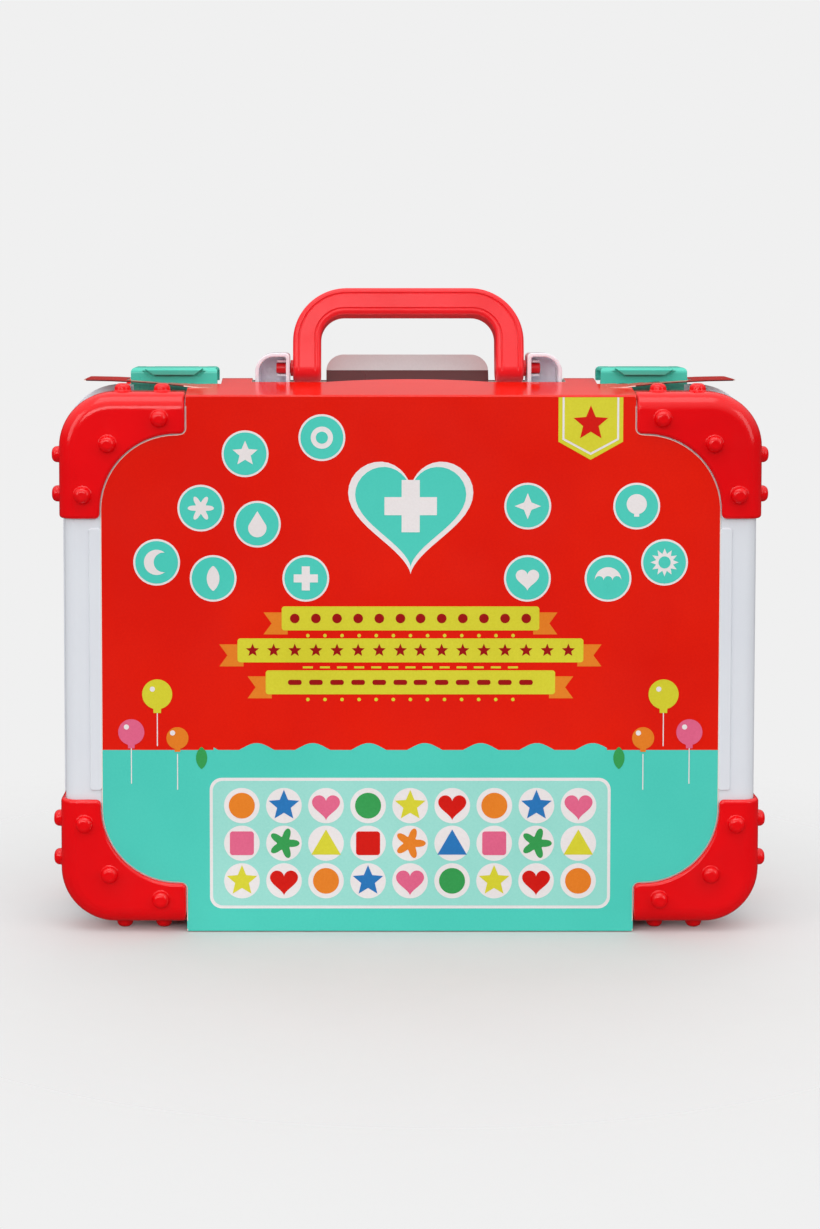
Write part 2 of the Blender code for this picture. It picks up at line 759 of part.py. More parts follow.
def latch_outline():
    """The latch's side view: front wall with a bead at its foot, top, back wall and pin knuckle."""
    near = -LATCH_NEAR
    inner = near + LATCH_WALL
    under = LATCH_HIGH - LATCH_WALL
    r = LATCH_SHOULDER
    knuckle = (LATCH_PIN_Y, LATCH_PIN_Z)
    outline = [(near, LATCH_LOW)]
    outline += arc((near + r, LATCH_HIGH - r), r, 180, 90, 4)
    outline += arc((LATCH_FAR - r, LATCH_HIGH - r), r, 90, 0, 4)
    outline += arc(knuckle, LATCH_KNUCKLE_RADIUS, 0, -180, 8)
    outline += [(LATCH_PIN_Y - LATCH_KNUCKLE_RADIUS, under), (inner, under)]
    outline += [(inner, LATCH_LOW + 2 * LATCH_BEAD), (inner + LATCH_BEAD, LATCH_LOW + LATCH_BEAD)]
    outline.append((inner + LATCH_BEAD, LATCH_LOW))
    return outline


def latch_front(middle):
    """The latch seen from behind: a rectangle with its top corners rounded."""
    half = LATCH_WIDTH / 2
    r = LATCH_SIDE_ROUNDING
    top = LATCH_HIGH + WELD
    outline = [(middle - half, LATCH_LOW - LATCH_WIDTH)]
    outline += arc((middle - half + r, top - r), r, 180, 90, 4)
    outline += arc((middle + half - r, top - r), r, 90, 0, 4)
    outline.append((middle + half, LATCH_LOW - LATCH_WIDTH))
    return outline


def make_latches(parts, cutters, turquoise):
    """Flip latches: a cover over the seam, a finger lip, and a knuckle notched for the shell's ears."""
    bores = pin_bores(cutters)
    for index, (side_name, side) in enumerate((("left", -1), ("right", 1))):
        name = f"latch_{side_name}"
        middle = side * LATCH_CENTRE
        blank_width = LATCH_WIDTH + 2 * OVERRUN
        latch = plate(name, [latch_outline()], blank_width, "YZ", middle, parts)
        front = plate(
            f"{name}_front", [latch_front(middle)], 2 * LATCH_WIDTH, "XZ", 0, cutters
        )
        combine(latch, [front], "INTERSECT")
        r = TAB_ROUNDING
        near = -LATCH_NEAR - TAB_REACH
        top = LATCH_HIGH - TAB_DROP
        back = -LATCH_NEAR + LATCH_WALL / 2
        tab_outline = arc((near + r, top - TAB_HEIGHT + r), r, 270, 180, 3)
        tab_outline += arc((near + r, top - r), r, 180, 90, 3)
        tab_outline += [(back + LATCH_SHOULDER, top), (back, top - TAB_HEIGHT)]
        tab = plate(f"{name}_tab", [tab_outline], TAB_WIDTH, "YZ", middle, cutters)
        combine(latch, [tab], "UNION")
        clear = TOUCH_GAP + LATCH_KNUCKLE_RADIUS
        for offset in (-EAR_OFFSET, EAR_OFFSET):
            half = EAR_WIDTH / 2 + TOUCH_GAP
            notch = block(
                f"{name}_notch_{offset > 0}",
                (middle + offset - half, middle + offset + half),
                (LATCH_PIN_Y - clear, LATCH_FAR + OVERRUN),
                (LATCH_LOW - OVERRUN, LATCH_HIGH + OVERRUN),
                cutters,
            )
            combine(latch, [notch], "DIFFERENCE")
        combine(latch, [bores[index]], "DIFFERENCE")
        finish(settle(latch), turquoise)
        origin_to(latch, (0, LATCH_PIN_Y, LATCH_PIN_Z))


def make_latch_pins(parts, steel):
    half = EAR_OFFSET + EAR_WIDTH
    for side_name, side in (("left", -1), ("right", 1)):
        centre = (side * LATCH_CENTRE, LATCH_PIN_Y, LATCH_PIN_Z)
        name = f"latch_pin_{side_name}"
        finish(rod(name, LATCH_PIN_RADIUS, centre, half, parts, ROUND_SIDES // 2), steel)


# Card sleeve


def back_panel_outline():
    """The sleeve's back: a wide middle and a narrow strip above and below, cut round the protectors."""
    wide = CARD_HALF_WIDTH
    strip = STRIP_HALF_WIDTH
    radius = GUARD_ARC - CARD_GAP
    centre_x = HALF_WIDTH - GUARD_SIDE_WIDTH - GUARD_ARC
    high = CASE_HIGH - GUARD_TOP_WIDTH - GUARD_ARC
    low = CASE_LOW + GUARD_TOP_WIDTH + GUARD_ARC
    bottom = CARD_FLOOR_GAP
    top = CARD_FOLD_HIGH + CARD / 2
    r = GUARD_END_RADIUS + CARD_GAP
    drop = r + CARD_SHOULDER
    right = [(strip, bottom)]
    right += arc((strip + r, low - radius - drop), r, 180, 90, 3)
    right += arc((centre_x, low), radius, -90, 0, ARC_STEPS)
    right += arc((centre_x, high), radius, 0, 90, ARC_STEPS)
    right += arc((strip + r, high + radius + drop), r, 270, 180, 3)
    right.append((strip, top))
    return right + [(-x, z) for x, z in reversed(right)]


def card_height(y):
    """Height of the sleeve's top panel, from its near fold up over the rim and down again."""
    slope = (CARD_CREST - CARD_FOLD_HIGH) / (CARD_PLANE - RIM_WIDTH)
    return CARD_CREST - slope * max(0, abs(y) - RIM_WIDTH)


def bent_card(name, columns, rows, skipped, cutters):
    """Card bent over a grid of (x, rise) columns and (y, z, share of the rise) rows, less some cells."""
    bm = bmesh.new()
    points = {}

    def point(i, j):
        if (i, j) not in points:
            x, rise = columns[i]
            y, z, share = rows[j]
            points[i, j] = bm.verts.new((x, y, z + rise * share))
        return points[i, j]

    for i in range(len(columns) - 1):
        for j in range(len(rows) - 1):
            if (i, j) not in skipped:
                bm.faces.new((point(i, j), point(i + 1, j), point(i + 1, j + 1), point(i, j + 1)))
    made = new_mesh_object(name, bm, cutters)
    sheet = made.modifiers.new("card", "SOLIDIFY")
    sheet.thickness = CARD
    sheet.offset = 0
    sheet.use_even_offset = True
    return made


def top_card(cutters):
    """The panel folded over the rim, with a wing on each side that rises outwards."""
    stations = [-CARD_PLANE, -WING_NEAR, -RIM_WIDTH, RIM_WIDTH, WING_FAR, CARD_FAR]
    rows = [(y, card_height(y), y > -CARD_PLANE) for y in stations]
    bend = STRIP_HALF_WIDTH - WING_BEND
    half = [(bend, 0), (STRIP_HALF_WIDTH, WING_ROOT_RISE), (WING_REACH, WING_RISE)]
    columns = [(-x, rise) for x, rise in reversed(half)] + half
    last_column = len(columns) - 2
    last_row = len(rows) - 2
    skipped = {(i, j) for i in (0, last_column) for j in (0, last_row)}
    return bent_card("top_panel", columns, rows, skipped, cutters)


def bottom_flap(cutters):
    """The short flap folded under the rear shell, ahead of the hinge."""
    rise = SHELL_LOW - TOUCH_GAP - CARD
    fold = CARD_FLOOR_GAP + CARD / 2
    rows = [(-CARD_PLANE, fold, 1), (-CARD_PLANE + CARD_FLAP, rise, 1)]
    columns = [(-STRIP_HALF_WIDTH, 0), (STRIP_HALF_WIDTH, 0)]
    return bent_card("bottom_flap", columns, rows, set(), cutters)


def tongue(cutters):
    """The flap cut out between the handle's legs, standing up from the far edge of its slot."""
    half = TONGUE_HALF_WIDTH
    r = TONGUE_RADIUS
    outline = [(-half, -TONGUE_FOOT)]
    outline += arc((-half + r, TONGUE_LENGTH - r), r, 180, 90, 5)
    outline += arc((half - r, TONGUE_LENGTH - r), r, 90, 0, 5)
    outline.append((half, -TONGUE_FOOT))
    made = plate("tongue", [outline], CARD, "XZ", 0, cutters)
    lean = Matrix.Rotation(-TONGUE_LEAN, 4, "X")
    foot = (0, SLOT_HALF_DEPTH + CARD / 2, card_height(SLOT_HALF_DEPTH))
    made.data.transform(Matrix.Translation(foot) @ lean)
    return made


def make_sleeve(parts, cutters, card):
    sleeve = plate("card_sleeve", [back_panel_outline()], CARD, "XZ", -CARD_PLANE, parts)
    combine(sleeve, [top_card(cutters), bottom_flap(cutters)], "UNION")
    high = (SHELL_HIGH, LATCH_HIGH + OVERRUN)
    half_slot = BRACKET_FAR_X + SLOT_MARGIN
    slot = block(
        "handle_slot", (-half_slot, half_slot), (-SLOT_HALF_DEPTH, SLOT_HALF_DEPTH), high, cutters
    )
    combine(sleeve, [slot], "DIFFERENCE")
    reach = LATCH_WIDTH / 2 + LATCH_NOTCH_MARGIN
    for side in (-1, 1):
        notch = block(
            f"latch_notch_{side}",
            (side * (LATCH_CENTRE - reach), side * (LATCH_CENTRE + reach)),
            (-LATCH_NEAR - TOUCH_GAP - CARD, CARD_FAR + OVERRUN),
            high,
            cutters,
        )
        combine(sleeve, [notch], "DIFFERENCE")
    combine(sleeve, [tongue(cutters)], "UNION")
    finish(settle(sleeve), card)


def main():
    for existing in list(bpy.data.objects):
        bpy.data.objects.remove(existing)
    parts = bpy.data.collections.new("toy_doctor_case")
    cutters = bpy.data.collections.new("cutters")
    for collection in (parts, cutters):
        bpy.context.scene.collection.children.link(collection)
    white = plastic("white_plastic", (0.72, 0.75, 0.8), 0.35)
    red = plastic("red_plastic", (0.85, 0.005, 0.01), 0.25)
    turquoise = plastic("turquoise_plastic", (0.1, 0.72, 0.55), 0.3)
    steel = plastic("pin_steel", (0.55, 0.55, 0.56), 0.3)
    card = plastic("printed_card", (0.75, 0.01, 0.01), 0.3)
    make_shells(parts, cutters, white)
    make_guards(parts, cutters, red)
    make_hinge_pins(parts, steel)
    make_handle(parts, cutters, red)
    make_brackets(parts, cutters, white)
    make_latches(parts, cutters, turquoise)
    make_latch_pins(parts, steel)
    make_sleeve(parts, cutters, card)
    cutters.hide_render = True


main()
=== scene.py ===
"""The looks of a toy doctor case: moulded plastic halves with studded corner protectors, a folding
handle, flip latches and a printed card sleeve. Metres, +Z up. The case is seen from its sleeve side."""

import math
from contextlib import contextmanager

import bmesh
import bpy
from mathutils import Matrix, Vector


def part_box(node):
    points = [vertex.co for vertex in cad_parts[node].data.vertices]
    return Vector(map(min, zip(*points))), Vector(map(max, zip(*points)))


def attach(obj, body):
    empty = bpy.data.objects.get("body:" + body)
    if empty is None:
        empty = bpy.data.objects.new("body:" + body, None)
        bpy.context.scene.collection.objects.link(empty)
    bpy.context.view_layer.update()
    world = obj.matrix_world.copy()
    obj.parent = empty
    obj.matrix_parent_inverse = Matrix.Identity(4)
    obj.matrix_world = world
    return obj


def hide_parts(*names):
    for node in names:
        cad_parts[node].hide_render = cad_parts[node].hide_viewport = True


MM = 0.001
TINY = 0.01 * MM
OVERRUN = 3 * MM
X, Y, Z = range(3)
SIDES = (("left", -1), ("right", 1))
SMOOTH_ANGLE = math.radians(32)

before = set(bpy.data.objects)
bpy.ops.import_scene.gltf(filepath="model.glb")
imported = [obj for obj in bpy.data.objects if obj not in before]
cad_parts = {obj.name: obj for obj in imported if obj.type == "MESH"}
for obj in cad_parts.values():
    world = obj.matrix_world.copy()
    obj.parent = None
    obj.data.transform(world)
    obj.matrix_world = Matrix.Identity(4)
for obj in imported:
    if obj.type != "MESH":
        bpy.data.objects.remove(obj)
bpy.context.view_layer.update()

# The case, as the frame's nodes give it
LEFT_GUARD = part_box("rear_corner_top_left")
FOOT_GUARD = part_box("rear_corner_bottom_right")
STUD_HEIGHT = 4 * MM
HALF_WIDTH = -LEFT_GUARD[0].x - STUD_HEIGHT
HALF_DEPTH = -LEFT_GUARD[0].y - STUD_HEIGHT
CASE_LOW = FOOT_GUARD[0].z + STUD_HEIGHT
CASE_HIGH = LEFT_GUARD[1].z - STUD_HEIGHT
CASE_MIDDLE = (CASE_LOW + CASE_HIGH) / 2
CORNER_RADIUS = 27.5 * MM
EDGE_RADIUS = 9 * MM
TOUCH_GAP = 0.3 * MM

# Corner protectors
GUARD_WALL = 2.2 * MM
GUARD_DEPTH = 26 * MM
GUARD_SIDE_WIDTH = 20.8 * MM
GUARD_TOP_WIDTH = 20.6 * MM
GUARD_ARC = 38.3 * MM
GUARD_LEG_RUN = 4 * MM
GUARD_END_RADIUS = 2.6 * MM
GUARD_LIP = 1.7 * MM
STUD_RADIUS = 4.1 * MM
STUD_SHOULDER = 2.7 * MM
STUD_SUNK = 0.9 * MM
# Each step of a stud's foot into the wall: its drop in millimetres and how much it widens
STUD_FLARES = ((0.45, 1.03), (0.3, 1.06), (0.15, 1.08), (0.6, 1.0))
FACE_STUDS = [(50.6 * MM, 13 * MM), (25 * MM, 25.6 * MM), (12.6 * MM, 51 * MM)]
EDGE_STUDS = [31.5 * MM, 51.2 * MM]
EDGE_STUD_DEPTH = 13 * MM

# Shells
SHELL_INSET = GUARD_WALL + TOUCH_GAP
SHELL_WALL = 2.2 * MM
SHELL_FACE = HALF_DEPTH - SHELL_INSET
SHELL_LOW = CASE_LOW + SHELL_INSET
SHELL_HIGH = CASE_HIGH - SHELL_INSET
SEAM_GAP = 0.3 * MM
RIM_PROUD = 2.2 * MM
RIM_WIDTH = 3 * MM
RIM_HIGH = CASE_HIGH + RIM_PROUD
RIM_ROUNDING = 0.5 * MM
NOTCH_ROOM = 2.2 * MM
NOTCH_SUNK = 0.2 * MM
CATCH_HALF = 13 * MM
CATCH_DEPTH = (-11.5 * MM, -9.5 * MM)
CATCH_ROUNDING = 0.5 * MM
RIB_WIDTH = 6.1 * MM
RIB_RADIUS = 1.5 * MM
RIB_ROUNDING = 0.6 * MM
RIB_HEIGHT = 0.8 * MM
RIB_LENGTH = 131.5 * MM
RIB_NEAR = HALF_WIDTH - GUARD_SIDE_WIDTH - 0.6 * MM
HINGE_HEIGHT = 3 * MM
HINGE_STATION = (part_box("hinge_pin_right")[0].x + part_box("hinge_pin_right")[1].x) / 2
KNUCKLE_RADIUS = 2.5 * MM
FRONT_KNUCKLE = 16 * MM
REAR_KNUCKLE = 8 * MM
KNUCKLE_GAP = 0.6 * MM
KNUCKLE_ROOM = 0.4 * MM
PIN_RADIUS = 1.2 * MM
ROD_END = 0.4 * MM
BORE_OVERRUN = 0.2 * MM

# Handle and brackets
PIVOT_HEIGHT = SHELL_HIGH + 12.9 * MM
HANDLE_LEAN = math.radians(10.5)
HANDLE_HALF_WIDTH = 59 * MM
HANDLE_RISE = 40.6 * MM
HANDLE_LEG = 14.4 * MM
HANDLE_BAR = 13.8 * MM
HANDLE_THICKNESS = 16 * MM
HANDLE_OUTER_RADIUS = 27.5 * MM
HANDLE_INNER_RADIUS = 12 * MM
HANDLE_FOOT = 7.8 * MM
HANDLE_ROUNDING = 2.2 * MM
GROOVE_INSET = 3.0 * MM
GROOVE_RADIUS = 0.6 * MM
HUB_RADIUS = 4.15 * MM
HUB_LENGTH = 1.3 * MM
HUB_END = 0.3 * MM
TRUNNION_RADIUS = 2.75 * MM
TRUNNION_LENGTH = 8.6 * MM
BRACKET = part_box("handle_bracket_right")
BRACKET_WALL = 1.9 * MM
BRACKET_RADIUS = 9.5 * MM
BRACKET_INNER_RADIUS = 2.2 * MM
BRACKET_FAR_ROUNDING = 1.2 * MM
BRACKET_LIP_ROUNDING = 0.45 * MM
FIN_THICKNESS = 1.1 * MM
FIN_LENGTH = 4.6 * MM
FIN_ROUNDING = 0.3 * MM

# Latches
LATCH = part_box("latch_right")
LATCH_CENTRE = (LATCH[0].x + LATCH[1].x) / 2
LATCH_HALF = (LATCH[1].x - LATCH[0].x) / 2
LATCH_HIGH = LATCH[1].z
LATCH_LOW = LATCH[0].z
LATCH_FAR = LATCH[1].y
LATCH_WALL = 1.8 * MM
LATCH_TOP_RADIUS = 3 * MM
LATCH_END_RADIUS = 2.2 * MM
LATCH_BEAD = 1.4 * MM
TAB_REACH = 3.4 * MM
TAB_HEIGHT = 3.3 * MM
TAB_HALF_TOP = 14.6 * MM
TAB_HALF_LOW = 10.4 * MM
TAB_TOP = LATCH_HIGH - 0.35 * MM
TAB_RADIUS = 1.1 * MM
TAB_ROUNDING = 0.35 * MM
TAB_FOOT_INSET = 0.5 * MM
TAB_BACK_RUN = 2.5 * MM
RECESS_BESIDE = 3.4 * MM
RECESS_ABOVE = -1.2 * MM
RECESS_BELOW = 0.6 * MM
RECESS_THICKNESS = 1.6 * MM
RECESS_RADIUS = 0.5 * MM
SKIRT_INSET = 1.5 * MM
SKIRT_CLEAR = 1.2 * MM
SKIRT_SUNK = 0.1 * MM
SKIRT_LAP = 2 * MM
LATCH_NEAR = LATCH[0].y + TAB_REACH
LATCH_KNUCKLE = 2.6 * MM
LATCH_PIN_Y = LATCH_FAR - LATCH_KNUCKLE
LATCH_PIN_Z = LATCH_HIGH - 4.7 * MM
EAR_OFFSET = 13.5 * MM
EAR_WIDTH = 4 * MM

# Card sleeve
CARD = 0.55 * MM
CARD_FACE = SHELL_FACE + TOUCH_GAP + 0.6 * MM
CARD_GAP = 0.4 * MM
CARD_LOW = 0.6 * MM
CARD_FOLD = SHELL_HIGH + 0.9 * MM
CARD_CREST = RIM_HIGH + 2.7 * MM
CARD_FAR = 22 * MM
CARD_SHOULDER = 0.2 * MM
TOP_SLOPE = (CARD_CREST - CARD_FOLD) / (CARD_FACE - RIM_WIDTH)
CARD_MIDDLE = CARD_FACE - CARD / 2
BAND_HIGH = 92 * MM
STRIP_HALF = HALF_WIDTH - GUARD_SIDE_WIDTH - GUARD_ARC - GUARD_LEG_RUN - CARD_GAP
FOLD_RADIUS = 1.3 * MM
FOLD_LAP = 4 * MM
# Where the top panel's height is taken, in millimetres, and its fall either side of the crest
TOP_STATIONS = (-30, -14, -6, -3, -1.5, 0, 1.5, 3, 6, 14, 22)
CREST_REACH = 6
CREST_FALL = 0.02
CUT_EDGE = 0.42 * MM
FLAP_LENGTH = 30 * MM
FLAP_LAP = 5 * MM
SLOT_DEPTH = 11.3 * MM
SLOT_ROOM = 1.6 * MM
LATCH_ROOM = 2 * MM
LATCH_NOTCH = 1.7 * MM
SLOT_BOW = 1.4 * MM
SLOT_BOWS = 6
SLOT_BOW_STEP = 7 * MM
TONGUE_HALF = 42 * MM
TONGUE_LENGTH = 14.4 * MM
TONGUE_ROOT = 2 * MM
TONGUE_RADIUS = 9 * MM
TONGUE_LEAN = math.radians(24)
# Painted shade: a dark band across the foot of the upright tongue, from this clearance above the fold up to
# this height, standing in for the shade that falls there
TONGUE_SHADE_TOP = 279.3 * MM
TONGUE_SHADE_CLEAR = 4 * MM
WING_NEAR = -26 * MM
WING_FAR = 10 * MM
WING_START = STRIP_HALF - 12 * MM
WING_TIP = WING_START + 64.3 * MM
WING_CORNER = 3 * MM
WING_ROOT = 1 * MM
# Each step of a wing outwards: run and rise in millimetres, twist in degrees
WING_STEPS = [
    (5, 0.2, 1.5), (4, 0.4, 1.5), (4, 0.5, 1.5), (6, 0.6, 2),
    (8, 0.7, 2), (10, 0.7, 0), (12, 0.6, 0), (14.3, 0.3, 0),
]

# Print
PRINT_STEP = 0.06 * MM
ICON_RADIUS = 10.6
ICON_RING = 1.0
INKS = {
    "white": ("F4EEEE", "EAE2E2"),
    "turquoise": ("55D4C3", "4CCDBC"),
    "yellow": ("E2DC3E", "D6CE30"),
    "red": ("DF1C12", "D0140C"),
    "orange": ("F08A2C", "E67C20"),
    "green": ("3FA75A", "359A4F"),
    "blue": ("2F7FC4", "2873B6"),
    "pink": ("EC6F93", "E06086"),
    "sky": ("A6E5DA", "97DCD0"),
    "maroon": ("A81616", "9A1010"),
}

# Floor, light and camera
FLOOR_RADIUS = 0.42
FLOOR_CLEAR = 0.12
BACKDROP = "F0F0F0"
# Each lamp: its place, what it is turned to, its size and its watts
LAMPS = {
    "overhead": ((-0.1, -0.4, 1.5), (0, 0, 0.1), (1.4, 0.8), 5.5),
    "left": ((-1.4, -1.0, 0.8), (0, 0, 0.14), (0.6, 1.0), 3.5),
    "right": ((1.4, -1.0, 0.8), (0, 0, 0.14), (0.6, 1.0), 3.5),
    "above_camera": ((-0.35, -1.6, 0.78), (0, 0, 0.2), (1.1, 0.42), 5.0),
    "behind": ((0.3, 1.7, 1.1), (0, 0, 0.14), (1.6, 1.0), 8),
}
CAMERA_PLACE = (-0.037, -1.145, 0.3216)
CAMERA_TILT = math.radians(90 - 3.04)
CAMERA_LENS = 65.37
CAMERA_SHIFT = (0.0602, -0.1687)


# Modelling tools


def pick(*pieces):
    """Makes these the only selected objects and the last of them the active one."""
    bpy.ops.object.select_all(action="DESELECT")
    for piece in pieces:
        piece.select_set(True)
    bpy.context.view_layer.objects.active = pieces[-1]
    return pieces[-1]


@contextmanager
def shaping(piece):
    """Edit mode on one piece."""
    pick(piece)
    bpy.ops.object.mode_set(mode="EDIT")
    yield
    bpy.ops.object.mode_set(mode="OBJECT")


def choose(piece, kind, test):
    """Selects what passes a test, in edit mode."""
    bpy.ops.mesh.select_mode(type=kind)
    bpy.ops.mesh.select_all(action="DESELECT")
    bm = bmesh.from_edit_mesh(piece.data)
    for item in {"VERT": bm.verts, "EDGE": bm.edges, "FACE": bm.faces}[kind]:
        if test(item):
            item.select_set(True)
    bmesh.update_edit_mesh(piece.data)


def settled(piece):
    """Takes a piece's place and turn into its mesh."""
    pick(piece)
    bpy.ops.object.transform_apply(location=True, rotation=True, scale=True)
    return piece


def named(name):
    """The object that an operator has just added, under its name and settled."""
    piece = bpy.context.object
    piece.name = name
    piece.data.name = name
    return settled(piece)


def added(name, operator, **values):
    """A new primitive."""
    bpy.ops.object.select_all(action="DESELECT")
    operator(**values)
    return named(name)


def block(name, x_range, y_range, z_range):
    """A box between two places along each axis."""
    low, high = zip(*(sorted(pair) for pair in (x_range, y_range, z_range)))
    centre = [(a + b) / 2 for a, b in zip(low, high)]
    size = [b - a for a, b in zip(low, high)]
    return added(name, bpy.ops.mesh.primitive_cube_add, size=1, location=centre, scale=size)


def rod(name, radius, centre, half_length, sides=32, rounding=0.0):
    """A round bar along X, its ends rounded if asked."""
    piece = added(
        name, bpy.ops.mesh.primitive_cylinder_add, vertices=sides, radius=radius,
        depth=2 * half_length, location=centre, rotation=(0, math.pi / 2, 0),
    )
    if rounding:
        ends = centre[0] - half_length, centre[0] + half_length
        round_edges(piece, lambda e: any(at(e, X, end) for end in ends), rounding, 3)
    return piece


def round_edges(piece, test, width, segments):
    with shaping(piece):
        choose(piece, "EDGE", test)
        bpy.ops.mesh.bevel(offset=width, segments=segments, affect="EDGES")


def is_sharp(edge, least=50):
    return len(edge.link_faces) == 2 and edge.calc_face_angle() > math.radians(least)


def along_y(edge):
    return abs(edge.verts[0].co.y - edge.verts[1].co.y) > TINY


def at(item, axis, place):
    """Whether an edge or face lies at this place along an axis."""
    return all(abs(v.co[axis] - place) < TINY for v in item.verts)


def arc(centre, radius, start, end, steps):
    """Points along part of a circle, both ends included, angles in degrees."""
    angles = [math.radians(start + (end - start) * i / steps) for i in range(steps + 1)]
    return [(centre[0] + radius * math.cos(a), centre[1] + radius * math.sin(a)) for a in angles]


def rounded_top(left, right, top, radius, steps):
    """The two rounded upper corners of an outline, from left to right."""
    corner = arc((left + radius, top - radius), radius, 180, 90, steps)
    return corner + arc((right - radius, top - radius), radius, 90, 0, steps)


def linked(piece):
    bpy.context.scene.collection.objects.link(piece)
    return piece


def drawn(name, outline, thickness, bevel=0.0):
    """A flat curve with this outline, filled, in the plane XY, or a wire along it if it has a bevel."""
    curve = bpy.data.curves.new(name, "CURVE")
    curve.dimensions = "3D" if bevel else "2D"
    curve.fill_mode = "FULL" if bevel else "BOTH"
    curve.extrude = thickness / 2
    curve.bevel_depth = bevel
    curve.bevel_resolution = 2
    spline = curve.splines.new("POLY")
    spline.points.add(len(outline) - 1)
    for point, (u, v) in zip(spline.points, outline):
        point.co = (u, v, 0, 1)
    spline.use_cyclic_u = True
    pick(linked(bpy.data.objects.new(name, curve)))
    bpy.ops.object.convert(target="MESH")
    return bpy.context.object


# Each plane that plates lie in: what turns XY into it, and the way across it
PLANES = {
    "XZ": (Matrix.Rotation(math.radians(90), 4, "X"), Vector((0, 1, 0))),
    "YZ": (Matrix(((0, 0, 1, 0), (1, 0, 0, 0), (0, 1, 0, 0), (0, 0, 0, 1))), Vector((1, 0, 0))),
}


def plate(name, outline, thickness, plane, offset, bevel=0.0):
    """A flat plate with this outline, its middle this far across its plane."""
    piece = drawn(name, outline, thickness, bevel)
    turn, across = PLANES[plane]
    piece.matrix_world = Matrix.Translation(across * offset) @ turn
    named(name)
    if bevel:
        return piece
    with shaping(piece):
        bpy.ops.mesh.select_all(action="SELECT")
        bpy.ops.mesh.remove_doubles(threshold=TINY / 10)
        bpy.ops.mesh.dissolve_limited(angle_limit=math.radians(1))
    return faced_out(piece)


def combine(piece, others, operation):
    """Joins solids to a piece, cuts them from it, or keeps what they share."""
    for other in others:
        pick(piece)
        modifier = piece.modifiers.new("combine", "BOOLEAN")
        modifier.operation = operation
        modifier.solver = "EXACT"
        modifier.object = other
        bpy.ops.object.modifier_apply(modifier=modifier.name)
        bpy.data.objects.remove(other)
    return piece


def faced_out(piece):
    with shaping(piece):
        bpy.ops.mesh.select_all(action="SELECT")
        bpy.ops.mesh.normals_make_consistent(inside=False)
    return piece


def copied(source, name):
    piece = source.copy()
    piece.data = source.data.copy()
    piece.name = name
    return linked(piece)


def mirrored(source, name, signs):
    """A copy mirrored through the case's middle planes whose sign is -1."""
    piece = copied(source, name)
    piece.scale = signs
    piece.location = (0, 0, CASE_MIDDLE * (1 - signs[2]))
    return faced_out(settled(piece))


def joined(name, pieces):
    pick(*pieces)
    if len(pieces) > 1:
        bpy.ops.object.join()
    bpy.context.object.name = name
    return bpy.context.object


def fitted(piece, material, body, slot, *nodes):
    """A finished piece: its material, smooth shading, body and the nodes it stands for. Its finish slot is
    not used.
    """
    if material:
        piece.data.materials.clear()
        piece.data.materials.append(material)
    pick(piece)
    bpy.ops.object.shade_smooth_by_angle(angle=SMOOTH_ANGLE)
    flats = piece.modifiers.new("flats_stay_flat", "WEIGHTED_NORMAL")
    flats.keep_sharp = True
    bpy.ops.object.modifier_apply(modifier=flats.name)
    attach(piece, body)
    if nodes:
        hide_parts(*nodes)
    return piece


# Materials


def linear(text):
    """A colour written as six hex digits, in linear light."""
    values = [int(text[i : i + 2], 16) / 255 for i in (0, 2, 4)]
    return tuple(v / 12.92 if v <= 0.04045 else ((v + 0.055) / 1.055) ** 2.4 for v in values) + (1,)


class Nodes:
    """A node tree with short calls to add nodes. An input is given a value or another node's output."""

    def __init__(self, tree):
        self.tree = tree

    def give(self, socket, value):
        if isinstance(value, bpy.types.NodeSocket):
            self.tree.links.new(value, socket)
        else:
            socket.default_value = value

    def add(self, kind, given=None, **values):
        node = self.tree.nodes.new(kind)
        for key, value in values.items():
            setattr(node, key, value)
        for key, value in (given or {}).items():
            self.give(node.inputs[key], value)
        return node

    def place(self):
        return self.add("ShaderNodeTexCoord").outputs["Object"]

    def stretched(self, place, scale, turn=(0, 0, 0)):
        given = {"Vector": place, "Scale": scale, "Rotation": turn}
        return self.add("ShaderNodeMapping", given).outputs["Vector"]

    def noise(self, place, scale, detail=2.0, roughness=0.5):
        given = {"Vector": place, "Scale": scale, "Detail": detail, "Roughness": roughness}
        return self.add("ShaderNodeTexNoise", given).outputs["Fac"]

    def spread(self, value, low, high, to_low, to_high):
        given = {"Value": value, "From Min": low, "From Max": high, "To Min": to_low, "To Max": to_high}
        return self.add("ShaderNodeMapRange", given).outputs["Result"]

    def math(self, operation, *values):
        return self.add("ShaderNodeMath", dict(enumerate(values)), operation=operation).outputs[0]

    def blend(self, factor, first, second):
        given = {0: factor, 6: first, 7: second}
        return self.add("ShaderNodeMix", given, data_type="RGBA").outputs[2]


PALE = (0.8, 0.8, 0.8, 1)


def surface_group(name, inputs):
    """An empty shader node group for a surface: its tree, its nodes, its inputs and its outputs."""
    tree = bpy.data.node_groups.new(name, "ShaderNodeTree")
    for label, value in inputs.items():
        kind = "NodeSocketColor" if isinstance(value, tuple) else "NodeSocketFloat"
        tree.interface.new_socket(label, in_out="INPUT", socket_type=kind).default_value = value
    for label, kind in (("Colour", "Color"), ("Roughness", "Float"), ("Height", "Float")):
        tree.interface.new_socket(label, in_out="OUTPUT", socket_type=f"NodeSocket{kind}")
    nodes = Nodes(tree)
    return tree, nodes, nodes.add("NodeGroupInput").outputs, nodes.add("NodeGroupOutput").inputs


